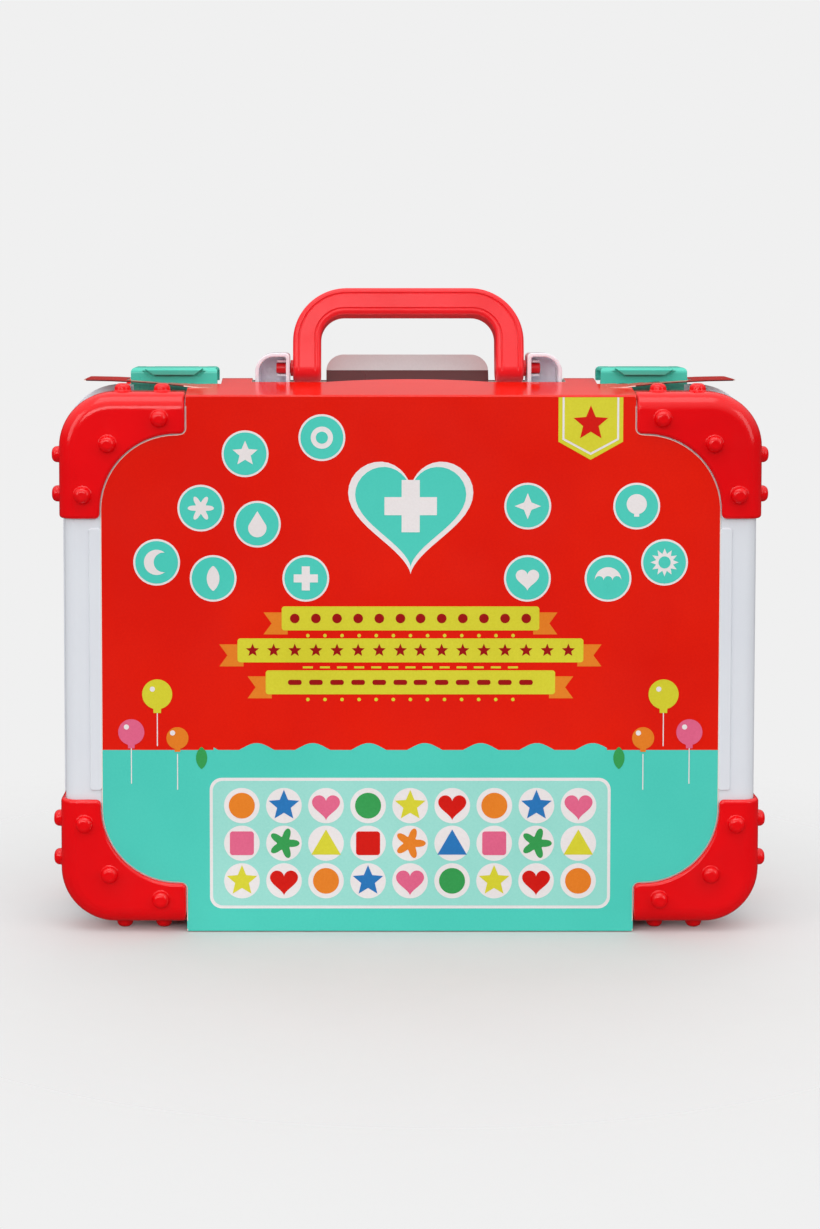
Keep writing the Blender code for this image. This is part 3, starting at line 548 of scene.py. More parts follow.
def moulded_surface_group():
    """Moulded plastic: slow tone drift, orange peel, fine handling scratches and rubbed patches."""
    inputs = {"Colour": PALE, "Drift Colour": PALE, "Gloss": 0.2, "Peel": 0.5, "Scratches": 0.5}
    tree, nodes, given, out = surface_group("moulded_surface", inputs)
    place = nodes.place()
    drift = nodes.spread(nodes.noise(place, 22, 3), 0.35, 0.65, 0, 1)
    peel = nodes.noise(place, 420, 1.5)
    streaks = nodes.noise(nodes.stretched(place, (60, 1500, 60), (0.4, 0.9, 0.3)), 1, 2)
    lines = nodes.spread(streaks, 0.66, 0.72, 0, 1)
    patches = nodes.spread(nodes.noise(place, 45, 4), 0.52, 0.7, 0, 1)
    scratches = nodes.math("MULTIPLY", nodes.math("MULTIPLY", lines, patches), given["Scratches"])
    wear = nodes.math("ADD", nodes.math("MULTIPLY", patches, 0.25), 0.9)
    rough = nodes.math("MULTIPLY", wear, given["Gloss"])
    nodes.give(out["Colour"], nodes.blend(drift, given["Colour"], given["Drift Colour"]))
    nodes.give(out["Roughness"], nodes.math("ADD", rough, nodes.math("MULTIPLY", scratches, 0.25)))
    peeled = nodes.math("MULTIPLY", peel, given["Peel"])
    nodes.give(out["Height"], nodes.math("SUBTRACT", peeled, scratches))
    return tree


def printed_surface_group():
    """Coated card: ink mottle, the board's tooth under the varnish and slow gloss change."""
    inputs = {"Colour": PALE, "Mottle Colour": PALE, "Gloss": 0.2, "Tooth": 0.5}
    tree, nodes, given, out = surface_group("printed_surface", inputs)
    place = nodes.place()
    cloud = nodes.spread(nodes.noise(place, 14, 3), 0.3, 0.7, 0, 0.8)
    speck = nodes.spread(nodes.noise(place, 900, 2, 0.7), 0.3, 0.75, 0, 0.5)
    mottle = nodes.math("MINIMUM", nodes.math("ADD", cloud, speck), 1.0)
    sheen = nodes.spread(nodes.noise(place, 30, 2), 0.3, 0.7, 0.85, 1.25)
    wave = nodes.math("MULTIPLY", nodes.noise(place, 24, 1), 12.0)
    tooth = nodes.math("ADD", nodes.noise(place, 650, 2), wave)
    nodes.give(out["Colour"], nodes.blend(mottle, given["Colour"], given["Mottle Colour"]))
    nodes.give(out["Roughness"], nodes.math("MULTIPLY", sheen, given["Gloss"]))
    nodes.give(out["Height"], nodes.math("MULTIPLY", tooth, given["Tooth"]))
    return tree


def new_material(name):
    """A material with its nodes and its shader's inputs."""
    material = bpy.data.materials.new(name)
    material.use_nodes = True
    return material, Nodes(material.node_tree), material.node_tree.nodes["Principled BSDF"].inputs


def surfaced(name, tree, colour, second, values, bump, **shader_values):
    """A material whose colour, roughness and bump come from one of the surface groups."""
    material, nodes, shader = new_material(name)
    values = {0: linear(colour), 1: linear(second), **values}
    surface = nodes.add("ShaderNodeGroup", values, node_tree=tree).outputs
    relief = nodes.add("ShaderNodeBump", {"Strength": 1.0, "Distance": bump, "Height": surface["Height"]})
    nodes.give(shader["Base Color"], surface["Colour"])
    nodes.give(shader["Roughness"], surface["Roughness"])
    nodes.give(shader["Normal"], relief.outputs["Normal"])
    for label, value in shader_values.items():
        nodes.give(shader[label.replace("_", " ")], value)
    return material


def brushed_steel():
    """Drawn wire: bright, with fine lines along its length."""
    material, nodes, shader = new_material("drawn_steel_pin")
    lines = nodes.noise(nodes.stretched(nodes.place(), (80, 4000, 4000)), 1, 3)
    nodes.give(shader["Base Color"], nodes.blend(lines, linear("8E8E92"), linear("C9C9CC")))
    nodes.give(shader["Roughness"], nodes.spread(lines, 0.3, 0.7, 0.22, 0.4))
    nodes.give(shader["Metallic"], 1.0)
    return material


def plastic(name, colour, second, gloss, peel, scratches, **shader_values):
    """A moulded plastic."""
    values = {"Gloss": gloss, "Peel": peel, "Scratches": scratches}
    return surfaced(name, moulded, colour, second, values, 0.02 * MM, **shader_values)


def card(name, colour, second, gloss=0.15, tooth=0.5, bump=0.012 * MM, **shader_values):
    """Card, coated and printed unless said otherwise."""
    values = {"Gloss": gloss, "Tooth": tooth}
    return surfaced(name, printed, colour, second, values, bump, **shader_values)


moulded = moulded_surface_group()
printed = printed_surface_group()
PROTECTOR_RED = plastic("protector_red", "EE040D", "E3020A", 0.16, 0.5, 0.35)
HANDLE_RED = plastic("handle_red", "F51E28", "EC151E", 0.34, 0.6, 0.5)
SHELL_WHITE = plastic("shell_white", "E4E7ED", "E1E4EB", 0.33, 0.6, 0.4)
BRACKET_WHITE = plastic(
    "bracket_white", "F1EEF5", "EAE6F0", 0.3, 0.5, 0.3,
    Subsurface_Weight=0.5, Subsurface_Scale=0.005, Subsurface_Radius=(1.0, 0.9, 1.0),
)
LATCH_TURQUOISE = plastic("latch_turquoise", "4CD1BA", "43C8B1", 0.26, 0.5, 0.3)
STEEL = brushed_steel()
CARD_RED = card("sleeve_red_print", "EC1F09", "DF1607", Specular_IOR_Level=0.36)
CARD_TURQUOISE = card("sleeve_turquoise_print", "55D4C3", "4CCDBC")
# Painted shade: a dark red for the tongue's foot, standing in for the shade there, not print
CARD_PAINTED_SHADE = card("sleeve_painted_shade_at_tongue_foot", "5E1618", "521013", 0.3)
CARD_BOARD = card("sleeve_board", "D9D4D4", "CFC9C9", 0.65, 2.0, 0.03 * MM)
CARD_CORE = card("sleeve_core", "FFF2E4", "F6E8DA", 0.8, 2.0, 0.03 * MM)


# Case blank


def case_blank(name, inset, near, far, edge=None, edge_steps=7):
    """A block the shape of the case, inset all round, its corners and near edge rounded."""
    half = HALF_WIDTH - inset
    piece = block(name, (-half, half), (near, far), (CASE_LOW + inset, CASE_HIGH - inset))
    round_edges(piece, along_y, CORNER_RADIUS - inset, 16)
    round_edges(piece, lambda e: at(e, Y, near), edge or EDGE_RADIUS - inset, edge_steps)
    return piece


# Corner protectors


def guard_outline():
    """The top right protector as seen from the sleeve side: an L with a hollow inner arc."""
    out = HALF_WIDTH + STUD_HEIGHT
    up = CASE_HIGH + STUD_HEIGHT
    end_x = HALF_WIDTH - GUARD_SIDE_WIDTH - GUARD_ARC - GUARD_LEG_RUN
    end_z = CASE_HIGH - GUARD_TOP_WIDTH - GUARD_ARC - GUARD_LEG_RUN
    inner_x = HALF_WIDTH - GUARD_SIDE_WIDTH
    inner_z = CASE_HIGH - GUARD_TOP_WIDTH
    centre = (inner_x - GUARD_ARC, inner_z - GUARD_ARC)
    r = GUARD_END_RADIUS
    outline = [(out, up), (end_x, up)]
    outline += arc((end_x + r, inner_z + r), r, 180, 270, 6)
    outline += arc(centre, GUARD_ARC, 90, 0, 32)
    outline += arc((inner_x + r, end_z + r), r, 180, 270, 6)
    outline.append((out, end_z))
    return outline


def stud_pattern():
    """A flat-topped button along +Z, its foot flared into the wall that it stands on."""
    depth = STUD_HEIGHT - STUD_SUNK
    stud = added(
        "stud", bpy.ops.mesh.primitive_cylinder_add, vertices=40, radius=STUD_RADIUS,
        depth=depth, location=(0, 0, STUD_SUNK + depth / 2),
    )
    round_edges(stud, lambda e: at(e, Z, STUD_HEIGHT), STUD_SHOULDER, 9)
    with shaping(stud):
        choose(stud, "FACE", lambda f: at(f, Z, STUD_SUNK))
        for drop, flare in STUD_FLARES:
            bpy.ops.mesh.extrude_region_move(TRANSFORM_OT_translate={"value": (0, 0, -drop * MM)})
            bpy.ops.transform.resize(value=(flare, flare, 1), center_override=(0, 0, 0))
    return stud


def placed_stud(pattern, place, turn):
    stud = copied(pattern, "stud_copy")
    stud.matrix_world = Matrix.Translation(place) @ turn
    return settled(stud)


def guard_pattern():
    """The rear top right protector: the case's skin inside the L, hollowed to fit its shell."""
    far = -HALF_DEPTH + GUARD_DEPTH
    guard = case_blank("guard", 0, -HALF_DEPTH, far, edge_steps=8)
    length = GUARD_DEPTH + 2 * OVERRUN
    shape = plate("guard_shape", guard_outline(), length, "XZ", -HALF_DEPTH + GUARD_DEPTH / 2)
    combine(guard, [shape], "INTERSECT")
    round_edges(guard, lambda e: is_sharp(e) and not at(e, Y, far), GUARD_LIP, 5)
    hollow = case_blank("guard_hollow", GUARD_WALL, -HALF_DEPTH + GUARD_WALL, far + OVERRUN)
    combine(guard, [hollow], "DIFFERENCE")
    pattern = stud_pattern()
    to_back = Matrix.Rotation(math.radians(90), 4, "X")
    to_side = Matrix.Rotation(math.radians(90), 4, "Y")
    studs = []
    for across, down in FACE_STUDS:
        place = Vector((HALF_WIDTH - across, -HALF_DEPTH, CASE_HIGH - down))
        studs.append(placed_stud(pattern, place, to_back))
    for along in EDGE_STUDS:
        depth = -HALF_DEPTH + EDGE_STUD_DEPTH
        top = Vector((HALF_WIDTH - along, depth, CASE_HIGH))
        side = Vector((HALF_WIDTH, depth, CASE_HIGH - along))
        studs.append(placed_stud(pattern, top, Matrix.Identity(4)))
        studs.append(placed_stud(pattern, side, to_side))
    bpy.data.objects.remove(pattern)
    return combine(guard, studs, "UNION")


def make_guards():
    pattern = guard_pattern()
    for depth_name, depth_sign, body in (("rear", 1, "rear_half"), ("front", -1, "front_half")):
        for height_name, height_sign in (("top", 1), ("bottom", -1)):
            for side_name, side_sign in SIDES:
                node = f"{depth_name}_corner_{height_name}_{side_name}"
                guard = mirrored(pattern, f"{node}_guard", (side_sign, depth_sign, height_sign))
                fitted(guard, PROTECTOR_RED, body, "red_plastic", node)
    bpy.data.objects.remove(pattern)


# Shells


def knuckle_outline():
    """A rear knuckle's side view: round under the seam, with a web up to the shell."""
    top = SHELL_LOW + SHELL_WALL * 0.7
    shoulder = math.degrees(math.acos(-SEAM_GAP / KNUCKLE_RADIUS))
    barrel = arc((0, HINGE_HEIGHT), KNUCKLE_RADIUS, -180, shoulder, 28)
    return [(-KNUCKLE_RADIUS, top), *barrel, (-SEAM_GAP, top)]


def knuckle_places(front):
    """Middle and half length of each knuckle of one shell."""
    places = []
    for side in (-1, 1):
        middle = side * HINGE_STATION
        if front:
            places.append((middle, FRONT_KNUCKLE / 2))
            continue
        reach = FRONT_KNUCKLE / 2 + KNUCKLE_GAP + REAR_KNUCKLE / 2
        places += [(middle - reach, REAR_KNUCKLE / 2), (middle + reach, REAR_KNUCKLE / 2)]
    return places


def half_shell(name, front):
    """A tray open at the seam, with its rim, side ribs and knuckles, made as the rear one."""
    shell = case_blank(name, SHELL_INSET, -SHELL_FACE, -(SEAM_GAP + RIM_WIDTH) / 2)
    rim_near = -SEAM_GAP / 2 - RIM_WIDTH
    rim = case_blank("rim", -RIM_PROUD, rim_near, -SEAM_GAP / 2, RIM_ROUNDING, 3)
    ribs = []
    for side in (-1, 1):
        rib = block(
            "rib",
            (side * RIB_NEAR, side * (RIB_NEAR + RIB_WIDTH)),
            (-SHELL_FACE - RIB_HEIGHT, -SHELL_FACE + SHELL_WALL / 2),
            (CASE_MIDDLE - RIB_LENGTH / 2, CASE_MIDDLE + RIB_LENGTH / 2),
        )
        round_edges(rib, along_y, RIB_RADIUS, 5)
        round_edges(rib, lambda e: at(e, Y, -SHELL_FACE - RIB_HEIGHT), RIB_ROUNDING, 4)
        ribs.append(rib)
    room = case_blank("room", SHELL_INSET + SHELL_WALL, -SHELL_FACE + SHELL_WALL, OVERRUN)
    combine(shell, [rim, *ribs], "UNION")
    combine(shell, [room], "DIFFERENCE")
    depth = (-RIM_WIDTH - OVERRUN, OVERRUN)
    low = (CASE_LOW - RIM_PROUD - OVERRUN, HINGE_HEIGHT + TOUCH_GAP)
    cuts = [block("low_cut", (-HALF_WIDTH - OVERRUN, HALF_WIDTH + OVERRUN), depth, low)]
    notch_inner = HANDLE_HALF_WIDTH - HANDLE_LEG - NOTCH_ROOM
    notch_outer = BRACKET[1].x + NOTCH_ROOM
    for side in (-1, 1):
        notch = (side * notch_inner, side * notch_outer)
        cuts.append(block("notch", notch, depth, (SHELL_HIGH - NOTCH_SUNK, RIM_HIGH + OVERRUN)))
    for middle, half in knuckle_places(not front):
        reach = half + KNUCKLE_ROOM
        top = HINGE_HEIGHT + KNUCKLE_RADIUS + TOUCH_GAP
        cuts.append(block("room_cut", (middle - reach, middle + reach), depth, (low[0], top)))
    combine(shell, cuts, "DIFFERENCE")
    for middle, half in knuckle_places(front):
        knuckle = plate("knuckle", knuckle_outline(), 2 * half, "YZ", middle)
        combine(shell, [knuckle], "UNION")
        bore = rod("bore", PIN_RADIUS + TOUCH_GAP, (middle, 0, HINGE_HEIGHT), half + BORE_OVERRUN)
        combine(shell, [bore], "DIFFERENCE")
    return shell


def make_rear_shell():
    shell = half_shell("rear_half_shell", False)
    catches = []
    for side in (-1, 1):
        middle = side * LATCH_CENTRE
        span = (middle - CATCH_HALF, middle + CATCH_HALF)
        catch = block("catch", span, CATCH_DEPTH, (SHELL_HIGH - SHELL_WALL / 2, RIM_HIGH - TOUCH_GAP))
        round_edges(catch, lambda e: all(v.co.z > SHELL_HIGH for v in e.verts), CATCH_ROUNDING, 3)
        catches.append(catch)
    combine(shell, catches, "UNION")
    fitted(shell, SHELL_WHITE, "rear_half", "white_plastic", "rear_shell")


def make_front_shell():
    pattern = half_shell("front_pattern", True)
    shell = mirrored(pattern, "front_half_shell", (1, -1, 1))
    bpy.data.objects.remove(pattern)
    ears = []
    bores = []
    low = SHELL_HIGH - SHELL_WALL / 2
    profile = arc((LATCH_PIN_Y, LATCH_PIN_Z), LATCH_KNUCKLE, 180, 0, 16)
    profile += [(LATCH_PIN_Y + LATCH_KNUCKLE, low), (LATCH_PIN_Y - LATCH_KNUCKLE, low)]
    for side in (-1, 1):
        for offset in (-EAR_OFFSET, EAR_OFFSET):
            ears.append(plate("ear", profile, EAR_WIDTH, "YZ", side * LATCH_CENTRE + offset))
        place = (side * LATCH_CENTRE, LATCH_PIN_Y, LATCH_PIN_Z)
        bores.append(rod("ear_bore", PIN_RADIUS + TOUCH_GAP, place, LATCH_HALF))
    combine(shell, ears, "UNION")
    combine(shell, bores, "DIFFERENCE")
    fitted(shell, SHELL_WHITE, "front_half", "white_plastic", "front_shell")


def make_pins():
    half = FRONT_KNUCKLE / 2 + KNUCKLE_GAP + REAR_KNUCKLE
    for side_name, side in SIDES:
        hinge = (side * HINGE_STATION, 0, HINGE_HEIGHT)
        pin = rod(f"hinge_wire_{side_name}", PIN_RADIUS, hinge, half, 24, ROD_END)
        fitted(pin, STEEL, "rear_half", "pin_steel", f"hinge_pin_{side_name}")
        latch = (side * LATCH_CENTRE, LATCH_PIN_Y, LATCH_PIN_Z)
        pin = rod(f"latch_wire_{side_name}", PIN_RADIUS, latch, EAR_OFFSET + EAR_WIDTH, 24, ROD_END)
        fitted(pin, STEEL, "front_half", "pin_steel", f"latch_pin_{side_name}")


# Handle and brackets


def handle_outline(inset, steps=20):
    """The handle's U in the upright plane, its pivot at height zero, inset from every edge."""
    outer = HANDLE_HALF_WIDTH - inset
    inner = HANDLE_HALF_WIDTH - HANDLE_LEG + inset
    foot = -HANDLE_FOOT + inset
    over = rounded_top(-outer, outer, HANDLE_RISE - inset, HANDLE_OUTER_RADIUS - inset, steps)
    under_top = HANDLE_RISE - HANDLE_BAR + inset
    under = rounded_top(-inner, inner, under_top, HANDLE_INNER_RADIUS + inset, steps)
    return [(-outer, foot), *over, (outer, foot), (inner, foot), *under[::-1], (-inner, foot)]


def make_handle():
    """A U with rounded edges, round feet, trunnions and a thin groove round each face."""
    handle = plate("carry_handle", handle_outline(0), HANDLE_THICKNESS, "XZ", 0)
    round_edges(handle, lambda e: at(e, Z, -HANDLE_FOOT) and not along_y(e), HANDLE_FOOT - TINY, 10)
    round_edges(handle, lambda e: is_sharp(e, 60), HANDLE_ROUNDING, 5)
    for side in (-1, 1):
        face = side * HANDLE_THICKNESS / 2
        groove = plate("groove", handle_outline(GROOVE_INSET), 0, "XZ", face, GROOVE_RADIUS)
        combine(handle, [groove], "DIFFERENCE")
    for side in (-1, 1):
        place = side * (HANDLE_HALF_WIDTH - HANDLE_ROUNDING)
        hub = rod("hub", HUB_RADIUS, (place, 0, 0), HUB_LENGTH + HANDLE_ROUNDING, 48, HUB_END)
        end = (side * HANDLE_HALF_WIDTH, 0, 0)
        trunnion = rod("trunnion", TRUNNION_RADIUS, end, TRUNNION_LENGTH, 40, ROD_END)
        combine(handle, [hub, trunnion], "UNION")
    handle.location = (0, 0, PIVOT_HEIGHT)
    handle.rotation_euler = (-HANDLE_LEAN, 0, 0)
    fitted(settled(handle), HANDLE_RED, "handle", "red_plastic", "handle")


def bracket_outline(inset, radius, inner_radius):
    """The upright D of the right handle bracket, inset from every edge."""
    near = BRACKET[0].x + inset
    far = BRACKET[1].x - inset
    low = BRACKET[0].z + inset
    high = BRACKET[1].z - inset
    points = [(far, low)]
    points += arc((far - radius, high - radius), radius, 0, 90, 16)
    points += arc((near + inner_radius, high - inner_radius), inner_radius, 90, 180, 6)
    points.append((near, low))
    return points


def make_brackets():
    """Hollow cups open to the sleeve side, each holding a trunnion between two snap fins."""
    half = BRACKET[1].y
    cup = plate("cup", bracket_outline(0, BRACKET_RADIUS, BRACKET_INNER_RADIUS), 2 * half, "XZ", 0)
    inner = bracket_outline(BRACKET_WALL, BRACKET_RADIUS - BRACKET_WALL, BRACKET_INNER_RADIUS / 2)
    room = plate("cup_room", inner, 2 * half, "XZ", -BRACKET_WALL)
    round_edges(cup, lambda e: is_sharp(e, 60) and at(e, Y, half), BRACKET_FAR_ROUNDING, 4)
    combine(cup, [room], "DIFFERENCE")
    round_edges(cup, lambda e: is_sharp(e, 60) and at(e, Y, -half), BRACKET_LIP_ROUNDING, 3)
    start = BRACKET[0].x + BRACKET_WALL / 2
    end = BRACKET[0].x + BRACKET_WALL + FIN_LENGTH
    reach = TRUNNION_RADIUS + TOUCH_GAP
    fins = []
    for direction in (-1, 1):
        edge = PIVOT_HEIGHT + direction * reach
        heights = (edge, edge + direction * FIN_THICKNESS)
        fin = block("fin", (start, end), (-half / 2, half - BRACKET_WALL / 2), heights)
        round_edges(fin, lambda e: at(e, Y, -half / 2), FIN_ROUNDING, 3)
        fins.append(fin)
    combine(cup, fins, "UNION")
    place = (BRACKET[0].x, 0, PIVOT_HEIGHT)
    bore = rod("cup_bore", TRUNNION_RADIUS + TOUCH_GAP, place, BRACKET_WALL + MM, 40)
    combine(cup, [bore], "DIFFERENCE")
    for side_name, side in SIDES:
        node = f"handle_bracket_{side_name}"
        bracket = mirrored(cup, f"{node}_cup", (side, 1, 1))
        fitted(bracket, BRACKET_WHITE, "rear_half", "white_plastic", node)
    bpy.data.objects.remove(cup)


# Latches


def latch_profile():
    """The latch's side view: near wall with a bead at its foot, top, far wall and pin knuckle."""
    inner = LATCH_NEAR + LATCH_WALL
    under = LATCH_HIGH - LATCH_WALL
    bead = inner + LATCH_BEAD
    outline = [(LATCH_NEAR, LATCH_LOW)]
    outline += rounded_top(LATCH_NEAR, LATCH_FAR, LATCH_HIGH, LATCH_TOP_RADIUS, 8)
    outline += arc((LATCH_PIN_Y, LATCH_PIN_Z), LATCH_KNUCKLE, 0, -180, 16)
    outline += [(LATCH_PIN_Y - LATCH_KNUCKLE, under), (inner, under), (inner, LATCH_LOW + 2 * LATCH_BEAD)]
    return outline + [(bead, LATCH_LOW + LATCH_BEAD), (bead, LATCH_LOW)]


def tab_outline(wider, above, below):
    """The finger tab of the right latch from the front, narrowing downwards, and larger if asked."""
    slope = (TAB_HALF_TOP - TAB_HALF_LOW) / TAB_HEIGHT
    corners = []
    for side, height in ((-1, above), (-1, -TAB_HEIGHT - below), (1, -TAB_HEIGHT - below), (1, above)):
        corners.append((LATCH_CENTRE + side * (TAB_HALF_TOP + wider + slope * height), TAB_TOP + height))
    return corners


def tab_profile():
    """The finger tab's side view: a round near top edge and a foot that runs into the wall."""
    near = LATCH_NEAR - TAB_REACH
    back = LATCH_NEAR + LATCH_WALL * 0.8
    low = TAB_TOP - TAB_HEIGHT
    rounding = arc((near + TAB_RADIUS, TAB_TOP - TAB_RADIUS), TAB_RADIUS, 180, 90, 6)
    outline = [(near + TAB_FOOT_INSET, low), *rounding]
    return outline + [(back + TAB_BACK_RUN, TAB_TOP), (back, low - RECESS_BELOW)]


def latch_pattern():
    """The right latch."""
    left, right = LATCH_CENTRE - LATCH_HALF, LATCH_CENTRE + LATCH_HALF
    latch = plate("latch", latch_profile(), 2 * LATCH_HALF + 2 * OVERRUN, "YZ", LATCH_CENTRE)
    low = LATCH_LOW - LATCH_HALF
    front = [(left, low), *rounded_top(left, right, LATCH_HIGH + TINY, LATCH_END_RADIUS, 8), (right, low)]
    combine(latch, [plate("latch_front", front, 4 * LATCH_HALF, "XZ", 0)], "INTERSECT")
    wider = tab_outline(RECESS_BESIDE, RECESS_ABOVE, RECESS_BELOW)
    recess = plate("tab_recess", wider, RECESS_THICKNESS, "XZ", LATCH_NEAR)
    round_edges(recess, along_y, RECESS_RADIUS, 3)
    combine(latch, [recess], "DIFFERENCE")
    tab = plate("tab", tab_profile(), 2 * (TAB_HALF_TOP + OVERRUN), "YZ", LATCH_CENTRE)
    front = plate("tab_front", tab_outline(0, OVERRUN, OVERRUN), 4 * TAB_REACH, "XZ", LATCH_NEAR)
    combine(tab, [front], "INTERSECT")
    near = LATCH_NEAR - MM
    round_edges(tab, lambda e: is_sharp(e, 40) and all(v.co.y < near for v in e.verts), TAB_ROUNDING, 3)
    combine(latch, [tab], "UNION")
    depths = (LATCH_NEAR + SKIRT_SUNK, LATCH_NEAR + LATCH_WALL / 2)
    heights = (SHELL_HIGH + SKIRT_CLEAR, LATCH_LOW + SKIRT_LAP)
    skirt = block("skirt", (left + SKIRT_INSET, right - SKIRT_INSET), depths, heights)
    combine(latch, [skirt], "UNION")
    half = EAR_WIDTH / 2 + TOUCH_GAP
    depths = (LATCH_PIN_Y - TOUCH_GAP - LATCH_KNUCKLE, LATCH_FAR + OVERRUN)
    heights = (LATCH_LOW - OVERRUN, LATCH_HIGH + OVERRUN)
    cuts = []
    for ear in (LATCH_CENTRE - EAR_OFFSET, LATCH_CENTRE + EAR_OFFSET):
        cuts.append(block("ear_notch", (ear - half, ear + half), depths, heights))
    place = (LATCH_CENTRE, LATCH_PIN_Y, LATCH_PIN_Z)
    cuts.append(rod("latch_bore", PIN_RADIUS + TOUCH_GAP, place, LATCH_HALF + OVERRUN))
    return combine(latch, cuts, "DIFFERENCE")


def make_latches():
    pattern = latch_pattern()
    for side_name, side in SIDES:
        node = f"latch_{side_name}"
        latch = mirrored(pattern, f"{node}_cover", (side, 1, 1))
        fitted(latch, LATCH_TURQUOISE, node, "turquoise_plastic", node)
    bpy.data.objects.remove(pattern)


# Card sleeve


def top_height(y):
    """Height of the middle of the sleeve's top panel: up from its fold over the rim, then down."""
    return CARD_CREST - TOP_SLOPE * max(0, abs(y) - RIM_WIDTH)


def strip_profile(centre_line):
    """The outline of card that follows this line of (y, z) points."""
    near, far = [], []
    for i, (y, z) in enumerate(centre_line):
        before = centre_line[max(i - 1, 0)]
        after = centre_line[min(i + 1, len(centre_line) - 1)]
        along = Vector((after[0] - before[0], after[1] - before[1])).normalized()
        across = Vector((-along.y, along.x)) * CARD / 2
        near.append((y + across.x, z + across.y))
        far.append((y - across.x, z - across.y))
    return near + far[::-1]


def card_wing(side):
    """One side of the top panel: it rises outwards past the strip and twists level as it goes."""
    height = top_height(WING_NEAR)
    far = (WING_FAR, height + TOP_SLOPE * (WING_FAR - WING_NEAR))
    profile = strip_profile([(WING_NEAR, height), far])
    wing = plate("wing", profile, WING_ROOT, "YZ", side * (WING_START + WING_ROOT / 2))
    with shaping(wing):
        choose(wing, "FACE", lambda f: f.normal.x * side > 0.99)
        for across, rise, twist in WING_STEPS:
            height += rise * MM
            move = (side * across * MM, 0, rise * MM)
            bpy.ops.mesh.extrude_region_move(TRANSFORM_OT_translate={"value": move})
            bpy.ops.transform.rotate(
                value=math.radians(twist), orient_axis="X", center_override=(0, WING_NEAR, height)
            )

    def at_corner(edge):
        a, b = (v.co for v in edge.verts)
        outer = min(a.x * side, b.x * side) > WING_TIP - TINY
        return outer and abs(a.z - b.z) > 0.7 * CARD and abs(a.y - b.y) < MM

    round_edges(wing, at_corner, WING_CORNER, 5)
    return wing


def sleeve_back():
    """The printed back: a wide middle and a narrow strip above and below, cut round the protectors."""
    wide = HALF_WIDTH - GUARD_SIDE_WIDTH - CARD_GAP
    radius = GUARD_ARC - CARD_GAP
    centre_x = HALF_WIDTH - GUARD_SIDE_WIDTH - GUARD_ARC
    high = CASE_HIGH - GUARD_TOP_WIDTH - GUARD_ARC
    low = CASE_LOW + GUARD_TOP_WIDTH + GUARD_ARC
    r = GUARD_END_RADIUS + CARD_GAP
    drop = r + CARD_SHOULDER
    right = [(STRIP_HALF, CARD_LOW)]
    right += arc((STRIP_HALF + r, low - radius - drop), r, 180, 90, 8)
    right += arc((centre_x, low), radius, -90, 0, 32)
    right += arc((centre_x, high), radius, 0, 90, 32)
    right += arc((STRIP_HALF + r, high + radius + drop), r, 270, 180, 8)
    right.append((STRIP_HALF, CARD_FOLD - FOLD_RADIUS / 2))
    return right + [(-x, z) for x, z in reversed(right)]


def tongue_solid():
    """The flap cut out between the handle's legs, standing up from the far edge of its slot."""
    top = rounded_top(-TONGUE_HALF, TONGUE_HALF, TONGUE_LENGTH, TONGUE_RADIUS, 10)
    outline = [(-TONGUE_HALF, -TONGUE_ROOT), *top, (TONGUE_HALF, -TONGUE_ROOT)]
    tongue = plate("tongue", outline, CARD, "XZ", 0)
    foot = Matrix.Translation((0, SLOT_DEPTH + CARD / 2, top_height(SLOT_DEPTH)))
    tongue.matrix_world = foot @ Matrix.Rotation(-TONGUE_LEAN, 4, "X")
    return settled(tongue)


def is_fold(edge):
    """Whether an edge of the back runs from side to side, where the card goes on round a fold."""
    a, b = (v.co for v in edge.verts)
    return abs(a.z - b.z) < TINY and abs(a.x) > STRIP_HALF - MM and abs(a.x + b.x) < TINY


def sleeve_card():
    """The whole sleeve in one material: back, top panel with its wings and tongue, and bottom flap."""
    sleeve = plate("printed_sleeve", sleeve_back(), CARD, "XZ", -CARD_MIDDLE)
    round_edges(sleeve, lambda e: at(e, Y, -CARD_FACE) and not is_fold(e), CUT_EDGE, 1)
    fold = (-CARD_MIDDLE + FOLD_RADIUS, CARD_FOLD - FOLD_RADIUS)
    line = [(-CARD_MIDDLE, fold[1] - FOLD_LAP), *arc(fold, FOLD_RADIUS, 180, 100, 8)]
    for y in TOP_STATIONS:
        fall = abs(y) * CREST_FALL if abs(y) <= CREST_REACH else 0
        line.append((y * MM, top_height(y * MM) - fall * MM))
    fold = (-CARD_MIDDLE + FOLD_RADIUS, CARD_LOW + FOLD_RADIUS + CARD / 2)
    under = [(-CARD_MIDDLE, CARD_LOW + FLAP_LAP), *arc(fold, FOLD_RADIUS, 180, 278, 8)]
    under.append((-CARD_MIDDLE + FLAP_LENGTH, SHELL_LOW - TOUCH_GAP - CARD / 2))
    width = 2 * STRIP_HALF - 4 * TINY
    top = plate("top", strip_profile(line), width, "YZ", 0)
    flap = plate("flap", strip_profile(under), width, "YZ", 0)
    combine(sleeve, [top, flap], "UNION")
    high = (SHELL_HIGH, LATCH_HIGH + OVERRUN)
    half_slot = BRACKET[1].x + SLOT_ROOM
    cuts = [block("slot", (-half_slot, half_slot), (-SLOT_DEPTH, SLOT_DEPTH), high)]
    reach = LATCH_HALF + LATCH_ROOM
    for side in (-1, 1):
        span = (side * (LATCH_CENTRE - reach), side * (LATCH_CENTRE + reach))
        cuts.append(block("latch_notch", span, (LATCH_NEAR - LATCH_NOTCH, CARD_FAR + OVERRUN), high))
    combine(sleeve, [card_wing(side) for side in (-1, 1)], "UNION")
    combine(sleeve, cuts, "DIFFERENCE")
    return combine(sleeve, [tongue_solid()], "UNION")


